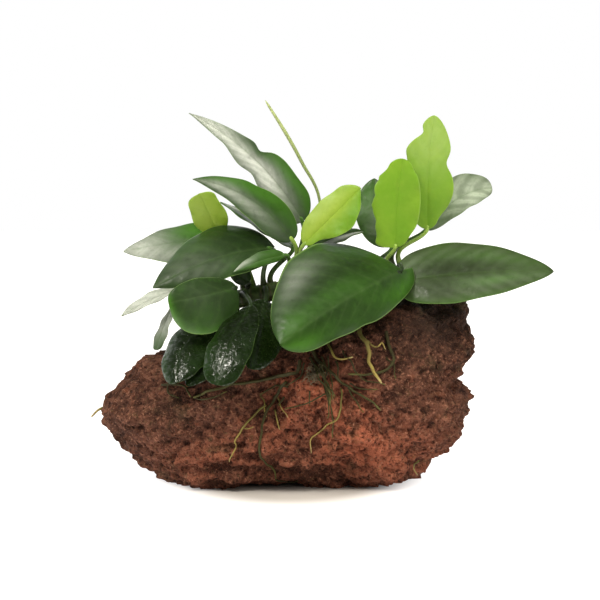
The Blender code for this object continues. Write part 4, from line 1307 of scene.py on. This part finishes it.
# %% Routes of the rootlets
# the same numbers as for the main roots
FINE_GREEN = [
    ([(-13, 43.5), (-20, 43.8), (-24, 42), (-27.5, 39.5)], 0.35, 0.2, 0.2),
    ([(-15.5, 39), (-18.5, 35)], 0.4, 0.25, 0.2),
    ([(13, 45), (17, 43), (24, 42)], 0.3, 0.2, 0.2),
    ([(3.5, 41), (-4, 37.5), (-11, 34.8), (-15, 33.5)], 0.35, 0.2, 0.2),
    ([(-4.5, 41.5), (-4.6, 38.5), (-4, 36)], 0.3, 0.2, 0.2),
    ([(-1.5, 54), (0, 47), (3, 43), (4.5, 40)], 0.5, 0.3, 0.6),
    ([(1, 54), (2.5, 48), (4, 43), (5.5, 39)], 0.45, 0.25, 0.8),
    ([(-17, 6), (-13, 4), (-9, 4)], 0.35, 0.2, 0.2),
    ([(-61, 42.5), (-60.5, 39), (-57, 37.5)], 0.35, 0.2, 0.2),
    ([(31, 56), (33, 50), (32, 46)], 0.3, 0.2, 0.2),
    ([(0, 57), (1.5, 50), (2.5, 43), (3.2, 37), (4.2, 30), (4.5, 23)], 0.4, 0.22, 0.5),
    ([(2, 57), (3.5, 50), (2, 44), (2.8, 37), (2.2, 31)], 0.35, 0.2, 0.9),
    ([(4, 57), (4.8, 51), (5.6, 45), (4.6, 38)], 0.35, 0.2, 0.6),
    ([(-6, 54), (-7.5, 48), (-12, 45), (-18, 42)], 0.35, 0.2, 0.4),
    ([(7.5, 54), (8.5, 48), (12, 44), (15, 38), (16, 33)], 0.35, 0.2, 0.4),
    ([(10, 58), (14, 52), (19, 47), (27, 43.5)], 0.35, 0.2, 0.3),
    ([(-50, 38), (-46, 37.5), (-42, 38.5), (-38, 41)], 0.3, 0.2, 0.2),
]
FINE_YELLOW = [
    ([(-27, 39), (-25, 35), (-22.5, 30)], 0.3, 0.15, 0.2),
    ([(-31, 27), (-29, 26), (-27, 26.5)], 0.25, 0.15, 0.2),
    ([(17, 62.5), (21, 61), (24.7, 59.5), (26.9, 61.6), (30.7, 59.3)], 0.4, 0.22, 0.5),
    ([(-19.6, 40.3), (-17.5, 35), (-13.2, 29.9)], 0.25, 0.15, 0.2),
    ([(38, 12), (37.5, 8), (38.5, 4)], 0.3, 0.2, 0.2),
]
END_ROOT = [(-86, 4, 27.5), (-89.5, 4.5, 26.0), (-92.5, 5, 23.0)]  # the tip at the left end


# %% Rootlets
ROOTLET_STEP = 0.7  # mm from ring to ring
ANCHORS = 30  # short roots that hold the creeping stem to the top of the rock
ANCHOR_SPAN = (-40, 33)  # along X
ANCHOR_ROWS, ANCHOR_SIDES = 14, 8


def anchor_grid(x, away, drift):
    """A short root from the stem's underside at x, that bows out to the front (away < 0) or the back
    and ends 12 mm below the stem's middle, inside the rock; its radius falls evenly."""
    centre, _ = rhizome_at(x)
    start = centre + (0.0, 2.4 * away, -2.6)
    end = centre + (drift, 9.0 * away, -12.0)
    middle = (start + end) / 2 + (0.0, 2.5 * away, 1.0)
    path = smooth_path([start, middle, end], ANCHOR_ROWS)
    return swept(path, np.linspace(0.6, 0.3, ANCHOR_ROWS), ANCHOR_SIDES, np.array([1.0, 0.2, 0.1]))


green_grids = [root_grid(*facts, seed=20 + k, step=ROOTLET_STEP) for k, facts in enumerate(FINE_GREEN)]
end_grid = swept(smooth_path(END_ROOT, ANCHOR_ROWS), np.linspace(0.6, 0.35, ANCHOR_ROWS), ANCHOR_SIDES,
                 np.array([0.1, 1.0, 0.1]))
rng = np.random.default_rng(seed=11)
for x in np.linspace(*ANCHOR_SPAN, ANCHORS):
    away = rng.choice((-1.0, 1.0)) * rng.uniform(0.2, 1.0)
    green_grids.append(anchor_grid(x + rng.uniform(-1, 1), away, rng.uniform(-5, 5)))
yellow_grids = [root_grid(*facts, seed=50 + k, step=ROOTLET_STEP) for k, facts in enumerate(FINE_YELLOW)]
yellow_grids.append(end_grid)
add_piece("rootlets_green", tube_mesh("rootlets_green", *green_grids), green_root, "green_root")
add_piece("rootlets_yellow", tube_mesh("rootlets_yellow", *yellow_grids), yellow_root, "yellow_root")
print(len(green_grids), "green and", len(yellow_grids), "yellow rootlets,", ANCHORS, "of them short")

# %% Hairs
HAIRS = 90
HAIR_ROWS, HAIR_SIDES = 6, 5
HAIR_RADII = (0.13, 0.07)
TUFT_MIDDLE, TUFT_SPREAD = (-1.5, 49), (2.4, 1.6)  # in X and Z

rng = np.random.default_rng(seed=7)
hair_grids = []
for _ in range(HAIRS):
    x, z = rng.normal(TUFT_MIDDLE, TUFT_SPREAD)
    turn, length = rng.uniform(0, 2 * math.pi), rng.uniform(1.5, 4.0)
    t = np.linspace(0, 1, HAIR_ROWS)
    bend = turn + rng.uniform(-1.5, 1.5) * t
    surface, out = rock_front(x + length * t * np.cos(bend), z + length * t * np.sin(bend))
    path = surface + out * (0.15 + rng.uniform(0.2, 1.2) * np.sin(math.pi * t))[:, None]
    hair_grids.append(swept(path, np.linspace(*HAIR_RADII, HAIR_ROWS), HAIR_SIDES, out))
hair_finish = root_finish("root_hair", (0.14, 0.11, 0.065), (0.20, 0.16, 0.10), (0.28, 0.23, 0.15),
                          (0.09, 0.07, 0.04))
add_piece("root_hairs", tube_mesh("root_hairs", *hair_grids), hair_finish, "yellow_root")
print(len(hair_grids), "hairs")
